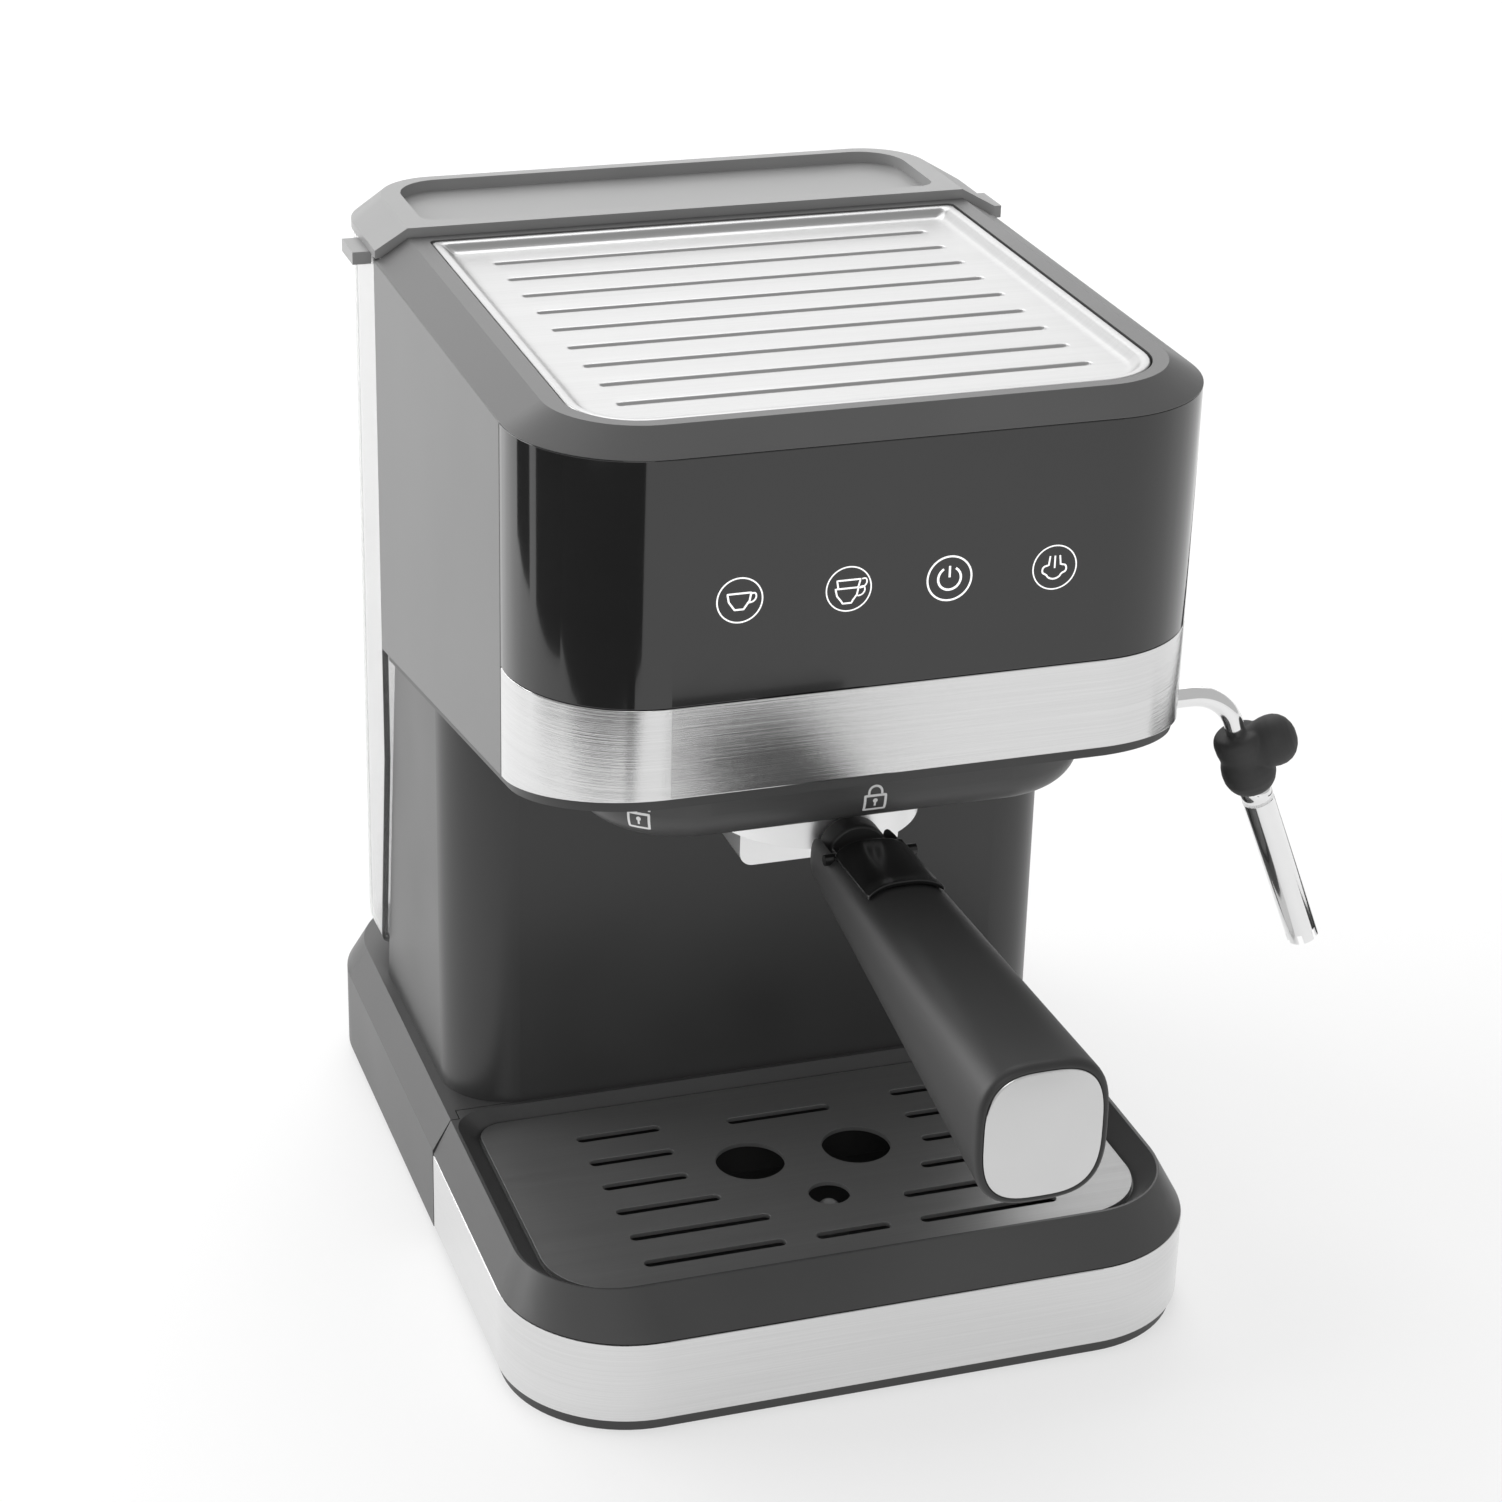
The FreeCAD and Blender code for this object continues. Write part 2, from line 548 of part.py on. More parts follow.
def make_head():
    body = new_body("control_panel")
    head_wrap(body, 0.0, S.panel_skin, (S.panel_low + 0.2, S.head_top - 0.3), S.head_seam)

    rings = []
    for place in (-1.5, -0.5, 0.5, 1.5):
        x, y, z = S.icon_pitch * place, S.head_front - 0.15, S.icon_z
        rings.append(minus(rod(x, y, z, S.icon_radius, 0.1, "y"),
                           rod(x, y - 1.0, z, S.icon_radius - 0.6, 3.0, "y")))
    node(group(*rings), "icon_rings")

    body = new_body("head_steel_band")
    head_wrap(body, 0.0, 1.0, (S.under_rear, S.panel_low), S.head_seam)
    trim_below(body, 0.0)

    for side, name in ((-1, "left"), (1, "right")):
        body = new_body("side_panel_" + name)
        x = (S.head_half_width - S.panel_skin, S.head_half_width)
        x = x if side > 0 else (-x[1], -x[0])
        block(body, x, (S.head_seam + 0.25, S.head_rear), (S.under_rear - 1.0, S.head_top - 0.3))
        trim_below(body, 0.0)
        if side > 0:
            sk = sketch(body, "YZ_Plane", S.head_half_width - 10.0)
            circle(sk, S.knob_y, S.knob_z, 4.6)
            cut(body, sk, 20.0)

    body = new_body("head_frame")
    inset, skin, corner = 2.7, 2.0, S.head_corner - 2.7
    x, y = S.head_half_width - inset, (S.head_front + inset, S.head_rear - 0.2)
    z = (S.under_rear, S.head_top - 2.0)
    block(body, both(x), y, z, (corner, corner, 2.5, 2.5))
    hollow(body, both(x - skin), (y[0] + skin, y[1] - skin), z, (corner - skin, corner - skin, 0, 0))
    trim_below(body, -0.2)
    sk = sketch(body, "YZ_Plane", S.head_half_width - 12.0)
    circle(sk, S.knob_y, S.knob_z, 9.0)
    cut(body, sk, 20.0)

    body = new_body("head_bottom_cover")
    corner = S.head_corner - 1.5
    block(body, both(S.head_half_width - 1.5), (S.head_front + 1.5, S.head_rear - 1.5),
          (S.under_rear - 12.0, S.under_front + 8.0), (corner, corner, 2, 2))
    trim_above(body, 0.1)
    trim_below(body, S.chin)
    drill(body, 0.0, S.group_y, 45.0, (S.under_rear - 12.0, S.under_front + 8.0))
    drill(body, S.wand_x, S.wand_y, 5.4, (S.under_rear - 12.0, S.under_front + 8.0))
    drill(body, S.pump_x, S.pump_y, 3.5, (S.under_rear - 12.0, S.under_front + 8.0))

    body = new_body("brew_head_skirt")
    z = (S.skirt_low, S.under_front + 8.0)
    x, y = both(S.skirt_half_width), (S.skirt_front, S.column_front - 0.5)
    block(body, x, y, z, (30, 30, 4, 4))
    foot = float(S.skirt_low)
    soften(body, lambda box, edge: box.ZLength < 0.01 and abs(box.ZMin - foot) < 0.1, 9.0)
    hollow(body, both(S.skirt_half_width - 3.0), (S.skirt_front + 3.0, S.column_front - 3.5),
           (S.skirt_low + 7.0, S.under_front + 9.0), (27, 27, 3, 3))
    trim_above(body, S.chin)
    drill(body, 0.0, S.group_y, S.ear_radius + 0.8, (S.skirt_low - 1.0, S.under_front))
    drill(body, 0.0, S.group_y, S.ear_radius + 4.4, (S.skirt_low + 3.1, S.under_front))

    body = new_body("top_deck")
    low_x, top_x = both(S.head_half_width), both(S.head_half_width - S.deck_inset)
    low_y, top_y = (S.head_front, S.deck_rear), (S.head_front + S.deck_front_inset, S.deck_rear)
    corner, crease = S.head_corner, S.head_corner - S.deck_inset
    block(body, low_x, low_y, (S.head_top - 0.2, S.head_top), (corner, corner, 0, 0))
    loft(body, (low_x, low_y, (corner, corner, 0, 0)), S.head_top,
         (top_x, top_y, (crease, crease, 0, 0)), S.deck_top)
    plate_x, plate_y = both(S.cup_plate_half_width + 0.5), (S.cup_plate_front - 0.5, S.cup_plate_rear + 0.5)
    hollow(body, plate_x, plate_y, (S.deck_top - 3.5, S.deck_top + 1.0), (20, 20, 2, 2))
    hollow(body, both(70.0), (S.cup_plate_front + 10.0, S.cup_plate_rear - 10.0),
           (S.head_top - 1.0, S.deck_top), (12, 12, 2, 2))
    crease_x, wing = S.head_half_width - S.deck_inset, S.deck_rear - 1.8
    for side in (-1.0, 1.0):
        sk = sketch(body, "XY_Plane", S.head_top - 1.0)
        polygon(sk, [(crease_x * side, S.deck_rear + 1.0), (crease_x * side, S.deck_rear),
                     ((S.head_half_width + 2.0) * side, wing),
                     ((S.head_half_width + 2.0) * side, S.deck_rear + 1.0)])
        cut(body, sk, 10.0)

    body = new_body("cup_plate")
    x, y = S.cup_plate_half_width, (S.cup_plate_front, S.cup_plate_rear)
    floor = S.deck_top - 2.7
    block(body, both(x), y, (floor - 0.7, S.deck_top - 0.2), (19.5, 19.5, 2, 2))
    loft(body, (both(x - 9.0), (y[0] + 9.0, y[1] - 9.0), (12, 12, 1, 1)), floor,
         (both(x - 1.8), (y[0] + 1.8, y[1] - 1.8), (18, 18, 1, 1)), S.deck_top - 0.19,
         "PartDesign::SubtractiveLoft")
    sk = sketch(body, "XY_Plane", floor - 0.4)
    reach = S.groove_half_length
    for row in range(9):
        slot(sk, -reach, reach, S.groove_first - S.groove_pitch * row, S.slot_width * 0.75)
    cut(body, sk, 3.0)


# ---------------------------------------------------------------- works inside
def make_works():
    y = S.group_y
    low, high = S.holder_low + 15.3, S.under_front + 10.0
    bore, lug = S.ear_radius + 0.6, S.holder_radius + 2.9
    ring = minus(rod(0.0, y, low, S.ear_radius + 4.0, high - low), rod(0.0, y, low - 1.0, bore, 19.0))
    lugs = [minus(rod(0.0, y, low, bore + 1.0, 3.0, "z", 56, start),
                  rod(0.0, y, low - 1.0, lug, 5.0)) for start in (152, -28)]
    node(fuse(ring, *lugs), "group_head")
    roof = low + 18.0
    node(minus(rod(0.0, y, roof - 7.6, 34.0, 7.5), rod(0.0, y, roof - 8.0, 28.4, 9.0)), "group_gasket")
    node(minus(rod(0.0, y, roof - 3.2, 27.6, 1.0), rod(0.0, y, roof - 4.0, 2.0, 3.0)), "shower_screen")
    screw = fuse(rod(0.0, y, roof - 5.2, 3.5, 1.9), rod(0.0, y, roof - 3.4, 1.9, 3.3))
    node(screw, "shower_screw")

    boiler_low, boiler_top = high + 0.1, high + 42.0
    can = fuse(rod(0.0, y, boiler_low, 42.0, 4.0), rod(0.0, y, boiler_low, 37.0, boiler_top - boiler_low))
    node(can, "boiler")
    coil = doc.addObject("Part::Torus", "Coil")
    put(coil, "Radius1", 41.2)
    put(coil, "Radius2", 4.0)
    node(placed(coil, (0.0, y, boiler_low + 14.0), Rotation()), "heating_element")
    caps = [fuse(rod(x, y, boiler_top + 0.1, 8.0, 5.0), rod(x, y, boiler_top + 5.0, 4.0, 4.0))
            for x in (-18.0, 18.0)]
    node(group(*caps), "boiler_thermostats")

    pump_x, pump_y = S.pump_x, S.pump_y
    shell = fuse(rod(pump_x, pump_y, 78.0, 21.0, 52.0), rod(pump_x, pump_y, 62.0, 9.0, 84.0),
                 rod(pump_x, pump_y, 55.0, 4.0, 100.0))
    node(shell, "water_pump")
    rings = [minus(rod(pump_x, pump_y, z, 22.0, 8.0), rod(pump_x, pump_y, z - 1.0, 9.1, 10.0))
             for z in (66.0, 134.0)]
    node(group(*rings), "pump_mounts")
    node(brick((18.0, 78.0), (38.0, 41.0), (70.0, 150.0)), "power_board")
    node(brick((-62.0, 62.0), (-110.5, -108.5), (S.icon_z - 18.0, S.icon_z + 18.0)), "touch_board")

    hose = tube_shape([(0.0, S.outlet_y, 44.0), (0.0, S.outlet_y, 20.0), (pump_x, pump_y, 20.0),
                       (pump_x, pump_y, 54.5)], 10.0, 3.5, 2.0)
    node(feature(hose), "suction_hose")
    link = tube_shape([(pump_x, pump_y, 155.5), (pump_x, pump_y, 262.0),
                       (-12.0, -40.0, 262.0), (-12.0, -40.0, boiler_top + 0.05)], 9.0, 2.5, 1.2)
    node(feature(link), "pressure_pipe")

    valve = fuse(brick((62.0, 84.0), (-14.0, 14.0), (S.knob_z - 12.0, S.knob_z + 12.0)),
                 rod(84.0, S.knob_y, S.knob_z, 8.0, 6.0, "x"))
    valve = minus(valve, rod(70.0, S.knob_y, S.knob_z, 4.06, 40.0, "x"))
    node(valve, "steam_valve")
    feed = tube_shape([(30.0, -36.0, boiler_top + 0.05), (30.0, -36.0, 262.0), (73.0, 0.0, 262.0),
                       (73.0, 0.0, 252.2)], 8.0, 2.5, 1.2)
    node(feature(feed), "steam_feed_pipe")
    drop = tube_shape([(73.0, -14.5, 236.0), (73.0, -34.0, 236.0), (S.wand_x, S.wand_y, 220.0),
                       (S.wand_x, S.wand_y, 192.5)], 8.0, 2.5, 1.2)
    node(feature(drop), "steam_outlet_pipe")

    knob = fuse(rod(S.head_half_width + 1.0, S.knob_y, S.knob_z, 15.0, 15.0, "x"),
                rod(72.0, S.knob_y, S.knob_z, 4.0, 28.0, "x"))
    node(knob, "steam_knob")


# ---------------------------------------------------------------- filter holder
def make_holder():
    y, low, high = S.group_y, S.holder_low, S.holder_high
    ears = [rod(0.0, y, high - 4.2, S.ear_radius, 4.0, "z", 44, start) for start in (158, -22)]
    solid = fuse(rod(0.0, y, low, S.holder_radius, high - low),
                 rod(0.0, y, high - 8.5, S.holder_radius + 2.6, 8.5), *ears)
    neck = rod(0.0, S.handle_near - 26.0, S.neck_z, S.neck_radius, 29.0, "y")
    cup = minus(fuse(solid, neck), rod(0.0, y, low + 4.0, 29.4, 40.0), rod(0.0, y, low - 1.0, 5.0, 10.0))
    node(cup, "filter_holder")

    body = new_body("coffee_spout")
    sk = sketch(body, "XZ_Plane", -y - 9.0)
    rounded_rect(sk, -S.spout_half_width, S.spout_half_width, S.spout_low, low, (4, 4, 0, 0))
    pad(body, sk, 18.0)
    for x in (-14.0, 14.0):
        drill(body, x, y, 4.0, (S.spout_low - 1.0, low - 4.0))

    cup = fuse(rod(0.0, y, low + 6.0, 28.6, high - low - 6.0), rod(0.0, y, high + 0.1, 32.5, 1.0),
               rod(0.0, y, high - 1.0, 28.6, 1.5))
    node(minus(cup, rod(0.0, y, low + 6.8, 27.8, 30.0)), "filter_basket")


def handle_section(body, y, half_width, low, high, radius):
    sk = sketch(body, "XZ_Plane", -y)
    rounded_rect(sk, -half_width, half_width, low, high, (radius, radius, radius, radius))
    return sk


def make_handle():
    body = new_body("holder_handle")
    pin_radius = 1.6
    near = handle_section(body, S.handle_near, 12.5, S.handle_low, S.handle_top, 8.8)
    far = handle_section(body, S.handle_end, 18.0, S.handle_end_z - 20.0, S.handle_end_z + 20.0, 13.5)
    made = body.newObject("PartDesign::AdditiveLoft", "Loft")
    made.Profile = near
    made.Sections = [far]
    made.Ruled = True
    hollow(body, both(10.6), (S.clip_y - 8.0, S.handle_near + 1.0), (S.clip_z - 3.6, S.handle_top + 2.0))
    sk = sketch(body, "XZ_Plane", -S.handle_near)
    circle(sk, 0.0, S.handle_top - 7.8, 9.2)
    pad(body, sk, 8.8)
    sk = sketch(body, "XZ_Plane", -S.handle_near - 1.0)
    circle(sk, 0.0, S.neck_z, S.neck_radius)
    cut(body, sk, 27.1)
    sk = sketch(body, "YZ_Plane", -14.0)
    circle(sk, S.clip_y, S.clip_z, pin_radius)
    cut(body, sk, 28.0)
    sk = sketch(body, "XZ_Plane", -S.handle_end - 1.3)
    rounded_rect(sk, -15.9, 15.9, S.handle_end_z - 17.9, S.handle_end_z + 17.9, (12, 12, 12, 12))
    cut(body, sk, 5.0)

    node(rod(-13.4, S.clip_y, S.clip_z, pin_radius, 26.8, "x"), "clip_pin")

    body = new_body("filter_clip")
    thickness, cheek_radius = 1.0, 2.8
    crown = [(0.0, 0.0), (4.0, 0.0), (7.0, -0.6), (9.0, -1.3), (10.2, -2.0)]
    right = [(x, S.clip_top + drop) for x, drop in crown]
    left = [(-x, S.clip_top + drop) for x, drop in crown[:0:-1]]
    under = [(-x, S.clip_top + drop - thickness) for x, drop in reversed(crown[1:])]
    under += [(x, S.clip_top + drop - thickness) for x, drop in crown]
    sk = sketch(body, "XZ_Plane", -S.clip_rear)
    polygon(sk, left + right + under[::-1])
    pad(body, sk, S.clip_rear - S.clip_end)
    for x in ((-10.2, -8.2), (8.2, 10.2)):
        sk = sketch(body, "YZ_Plane", x[0])
        rounded_rect(sk, S.clip_y - cheek_radius, S.clip_y + cheek_radius, S.clip_z - cheek_radius,
                     S.clip_z + 2.2, (2.7, 2.7, 0, 0))
        circle(sk, S.clip_y, S.clip_z, 1.7)
        pad(body, sk, x[1] - x[0])

    body = new_body("handle_end_plate")
    sk = sketch(body, "XZ_Plane", -S.handle_end - 1.3)
    rounded_rect(sk, -15.9, 15.9, S.handle_end_z - 17.9, S.handle_end_z + 17.9, (12, 12, 12, 12))
    pad(body, sk, 1.5)


# ---------------------------------------------------------------- water tank
def tank_profile(inset, top):
    rear, front, low = S.tank_rear - inset, S.tank_front + inset, S.tank_low + inset
    return [(front + 10.0, low), (rear, low), (rear, top), (front, top), (front, S.tank_knee)]


def tank_solid(inset, top):
    body = doc.addObject("PartDesign::Body", "TankForm")
    half = S.tank_half_width - inset
    side_profile(body, tank_profile(inset, top), -half, half + half, pad)
    rear, width, low = float(S.tank_rear - inset), float(half), float(S.tank_low + inset)
    soften(body, lambda box, edge: upright(box, (-width, width), rear), S.tank_corner - inset)
    soften(body, lambda box, edge: box.ZMax < low + 0.01, 6.0 - float(inset))
    return body


def make_tank():
    wall = S.tank_wall
    outlet = rod(0.0, S.outlet_y, S.tank_low - 1.0, 6.0, 6.0)
    node(minus(tank_solid(0.0, S.tank_high), tank_solid(wall, S.tank_high + 1.0), outlet),
         "tank_body")

    y, z = S.lid_hinge_y, S.lid_hinge_z
    ears = []
    for x in (-80.0, -54.0, 46.0, 72.0):
        arm = fuse(brick((x, x + 8.0), (S.tank_rear + 0.05, y + 1.9), (z - 9.0, S.lid_low - 0.4)),
                   brick((x, x + 8.0), (y - 1.8, y + 1.9), (z - 4.0, z)), rod(x, y, z, 1.9, 8.0, "x"))
        ears.append(minus(arm, rod(x - 1.0, y, z, 1.22, 10.0, "x")))
    node(group(*ears), "tank_hinge_ears")
    node(group(*[rod(x, y, z, 1.2, 34.0, "x") for x in (-80.0, 46.0)]), "lid_hinge_pins")

    cage = minus(rod(0.0, S.outlet_y, S.tank_low - 3.0, 5.9, 10.0),
                 rod(0.0, S.outlet_y, S.tank_low - 4.0, 3.0, 14.0))
    node(cage, "tank_valve_seat")
    stem = fuse(rod(0.0, S.outlet_y, S.tank_low - 1.5, 2.7, 11.0),
                rod(0.0, S.outlet_y, S.tank_low + 9.4, 5.2, 2.0))
    node(stem, "tank_valve_plunger")
    seal = minus(rod(0.0, S.outlet_y, S.base_top - 3.5, 6.9, 6.0), rod(0.0, S.outlet_y, 30.0, 3.6, 30.0))
    node(seal, "tank_port_seal")


def make_lid():
    body = new_body("tank_lid")
    step = 2.4
    half, top_half = S.head_half_width, S.head_half_width - S.deck_inset
    y = (S.lid_front - 22.0, S.lid_rear)
    top_y = (S.lid_front - 22.0, S.lid_rear - 2.5)
    block(body, both(half), y, (S.lid_low, S.lid_low + step), (0, 0, S.tank_corner, S.tank_corner))
    loft(body, (both(half), y, (0, 0, S.tank_corner, S.tank_corner)), S.lid_low + step,
         (both(top_half), top_y, (0, 0, 19, 19)), S.lid_top)
    sk = sketch(body, "XY_Plane", S.lid_low - 1.0)
    tip, front = S.lid_front - 1.5, S.lid_front
    polygon(sk, [(-110.0, front - 40.0), (110.0, front - 40.0), (110.0, tip), (half, tip),
                 (top_half, front), (-top_half, front), (-half, tip), (-110.0, tip)])
    cut(body, sk, 14.0)
    hollow(body, both(81.0), (front + 6.5, S.lid_rear - 6.3), (S.lid_top - 3.4, S.lid_top + 1.0),
           (5, 5, 14, 14))
    hollow(body, both(91.0), (S.tank_front + 3.0, S.lid_rear - 6.0), (S.lid_low, S.lid_low + step),
           (3, 3, 22, 22))
    for side in (-1.0, 1.0):
        inner, outer = half * side - 0.4 * side, (half + 5.2) * side
        x = (inner, outer) if side > 0 else (outer, inner)
        block(body, x, (S.tank_front + 2.5, S.tank_front + 17.0), (S.lid_low - 3.6, S.lid_low + 0.2))

    y, z = S.lid_hinge_y, S.lid_hinge_z
    barrels = []
    for x in (-71.7, 54.3):
        leaf = brick((x, x + 17.4), (S.lid_rear + 0.02, y), (z - 1.2, z + 2.2))
        barrel = fuse(rod(x, y, z, 2.2, 17.4, "x"), leaf)
        barrels.append(minus(barrel, rod(x - 1.0, y, z, 1.26, 20.0, "x")))
    node(group(*barrels), "lid_hinge_barrels")


# ---------------------------------------------------------------- steam wand
def wand_point(distance):
    """Point on the sloping run of the wand, measured from its elbow."""
    tilt = math.radians(float(S.wand_tilt))
    return (float(S.wand_elbow_x) + distance * math.sin(tilt), float(S.wand_y),
            float(S.wand_level) - distance * math.cos(tilt))


def sloping(distance, length, radius, bore=0.0):
    here, there = Vector(*wand_point(distance)), Vector(*wand_point(distance + length))
    solid = Part.makeCylinder(radius, length, here, there - here)
    return solid.cut(Part.makeCylinder(bore, length, here, there - here)) if bore else solid


def make_wand():
    x, y, z = float(S.wand_x), float(S.wand_y), float(S.wand_level)
    gland = minus(rod(S.wand_x, S.wand_y, S.wand_level + 8.4, 4.6, 10.6),
                  rod(S.wand_x, S.wand_y, S.wand_level, 3.06, 30.0))
    node(gland, "wand_gland")
    route = [(x, y, z + 19.5), (x, y, z), (float(S.wand_elbow_x), y, z), wand_point(79.0)]
    node(feature(tube_shape(route, 8.0, S.wand_tube_radius, 1.6)), "wand_tube")

    grip = sloping(14.5, 24.5, 8.0)
    lobe_at = Vector(*wand_point(22.0))
    outward = Vector(0.88, -0.3, 0.36).normalize()
    lobe = Part.makeCylinder(8.0, 16.0, lobe_at, outward)
    grip = grip.fuse(lobe).cut(sloping(12.0, 30.0, float(S.wand_tube_radius) + 0.02))
    node(feature(grip), "wand_grip")

    sleeve = sloping(39.3, 53.0, 4.9, 4.3).fuse(sloping(39.3, 6.0, 4.9, 3.05))
    for angle in (0, 60, 120):
        here = Vector(*wand_point(92.3))
        slit = Part.makeBox(12.0, 1.6, 3.2, Vector(-6.0, -0.8, 0))
        slit.Placement = Placement(here, Rotation(Vector(0, 1, 0), -float(S.wand_tilt))).multiply(
            Placement(Vector(), Rotation(Vector(0, 0, 1), angle)))
        sleeve = sleeve.cut(slit)
    node(feature(sleeve), "frother_sleeve")


make_base()
make_tray()
make_grill()
make_column()
make_head()
make_works()
make_holder()
make_handle()
make_tank()
make_lid()
make_wand()
doc.recompute()

for item in doc.Objects:
    if "Invalid" in item.State or "Error" in item.State:
        raise RuntimeError("%s (%s) failed: %s" % (item.Label, item.Name, item.State))
os.makedirs("parts", exist_ok=True)
for item in NODES:
    shape = item.Shape
    if shape.isNull() or not shape.isValid() or not shape.Solids:
        raise RuntimeError("bad shape: " + item.Label)
for item in NODES:
    item.Shape.exportStep("parts/%s.step" % item.Label)
    box = item.Shape.BoundBox
    print("%-22s %2d solid(s)  x %7.1f %7.1f  y %7.1f %7.1f  z %6.1f %6.1f" % (
        item.Label, len(item.Shape.Solids), box.XMin, box.XMax, box.YMin, box.YMax, box.ZMin, box.ZMax))
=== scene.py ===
import json
import math

import bmesh
import bpy
from mathutils import Matrix, Vector


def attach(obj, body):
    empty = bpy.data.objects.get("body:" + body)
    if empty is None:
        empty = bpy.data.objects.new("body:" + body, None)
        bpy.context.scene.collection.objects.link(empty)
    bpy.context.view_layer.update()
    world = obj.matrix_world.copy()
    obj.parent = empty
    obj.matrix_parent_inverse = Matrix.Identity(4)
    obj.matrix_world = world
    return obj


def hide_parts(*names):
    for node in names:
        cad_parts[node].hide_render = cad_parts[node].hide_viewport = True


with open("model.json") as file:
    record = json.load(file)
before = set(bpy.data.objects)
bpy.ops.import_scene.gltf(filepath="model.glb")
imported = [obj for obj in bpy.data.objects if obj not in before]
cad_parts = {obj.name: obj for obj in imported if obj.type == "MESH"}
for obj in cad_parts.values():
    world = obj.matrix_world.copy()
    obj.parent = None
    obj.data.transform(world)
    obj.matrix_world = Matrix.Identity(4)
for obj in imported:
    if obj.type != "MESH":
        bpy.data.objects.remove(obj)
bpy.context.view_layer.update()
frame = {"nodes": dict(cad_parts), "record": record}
NODES = frame["nodes"]
MM = 0.001


# ---------------------------------------------------------------- materials
class Paint:
    """A Principled material with helpers that wire its procedural detail."""

    def __init__(self, name, **settings):
        self.made = bpy.data.materials.new(name)
        self.made.use_nodes = True
        self.tree = self.made.node_tree
        self.shader = self.tree.nodes["Principled BSDF"]
        for key, value in settings.items():
            self.shader.inputs[key.replace("_", " ")].default_value = value
        self.coord = self.tree.nodes.new("ShaderNodeTexCoord")

    def link(self, out, into):
        self.tree.links.new(out, into)

    def noise(self, scale, stretch=(1, 1, 1), detail=3.0, rough=0.55):
        mapping = self.tree.nodes.new("ShaderNodeMapping")
        mapping.inputs["Scale"].default_value = stretch
        self.link(self.coord.outputs["Object"], mapping.inputs["Vector"])
        tex = self.tree.nodes.new("ShaderNodeTexNoise")
        tex.inputs["Scale"].default_value = scale
        tex.inputs["Detail"].default_value = detail
        tex.inputs["Roughness"].default_value = rough
        self.link(mapping.outputs["Vector"], tex.inputs["Vector"])
        return tex.outputs["Fac"]

    def ranged(self, value, low, high):
        node = self.tree.nodes.new("ShaderNodeMapRange")
        node.inputs["To Min"].default_value = low
        node.inputs["To Max"].default_value = high
        self.link(value, node.inputs["Value"])
        return node.outputs["Result"]

    def colour(self, value, dark, light):
        ramp = self.tree.nodes.new("ShaderNodeValToRGB")
        ramp.color_ramp.elements[0].color = grey(dark)
        ramp.color_ramp.elements[1].color = grey(light)
        self.link(value, ramp.inputs["Fac"])
        self.link(ramp.outputs["Color"], self.shader.inputs["Base Color"])
        return self

    def roughness(self, value, low, high):
        self.link(self.ranged(value, low, high), self.shader.inputs["Roughness"])
        return self

    def bump(self, value, strength, distance):
        node = self.tree.nodes.new("ShaderNodeBump")
        node.inputs["Strength"].default_value = strength
        node.inputs["Distance"].default_value = distance
        self.link(value, node.inputs["Height"])
        self.link(node.outputs["Normal"], self.shader.inputs["Normal"])
        return self


def grey(value):
    return (value, value, value, 1.0)


def moulded(name, tone, rough, grain=1500.0, depth=0.12):
    """Moulded plastic: fine spark-eroded grain and slow changes of gloss."""
    paint = Paint(name, IOR=1.48)
    slow, fine = paint.noise(22.0, detail=1.0), paint.noise(grain, detail=2.0)
    paint.colour(slow, tone * 0.85, tone * 1.18)
    paint.roughness(slow, rough - 0.05, rough + 0.05)
    return paint.bump(fine, depth, 0.0001).made


def brushed(name, tone, rough, stretch, depth=0.25, spread=0.14, metal=1.0):
    """Brushed sheet steel: long fine scratches along one direction."""
    paint = Paint(name, Metallic=metal)
    streak = paint.noise(1.0, stretch, detail=5.0, rough=0.7)
    broad = paint.noise(1.0, tuple(item * 0.12 for item in stretch), detail=2.0)
    paint.colour(streak, tone * 0.86, min(1.0, tone * 1.1))
    paint.roughness(broad, rough, rough + spread)
    return paint.bump(streak, depth, 0.00008).made


def polished(name, tone, rough):
    paint = Paint(name, Metallic=1.0)
    smear = paint.noise(60.0, detail=5.0)
    paint.colour(smear, tone * 0.95, min(1.0, tone * 1.03))
    paint.roughness(smear, rough, rough + 0.05)
    return paint.bump(paint.noise(300.0), 0.02, 0.0001).made


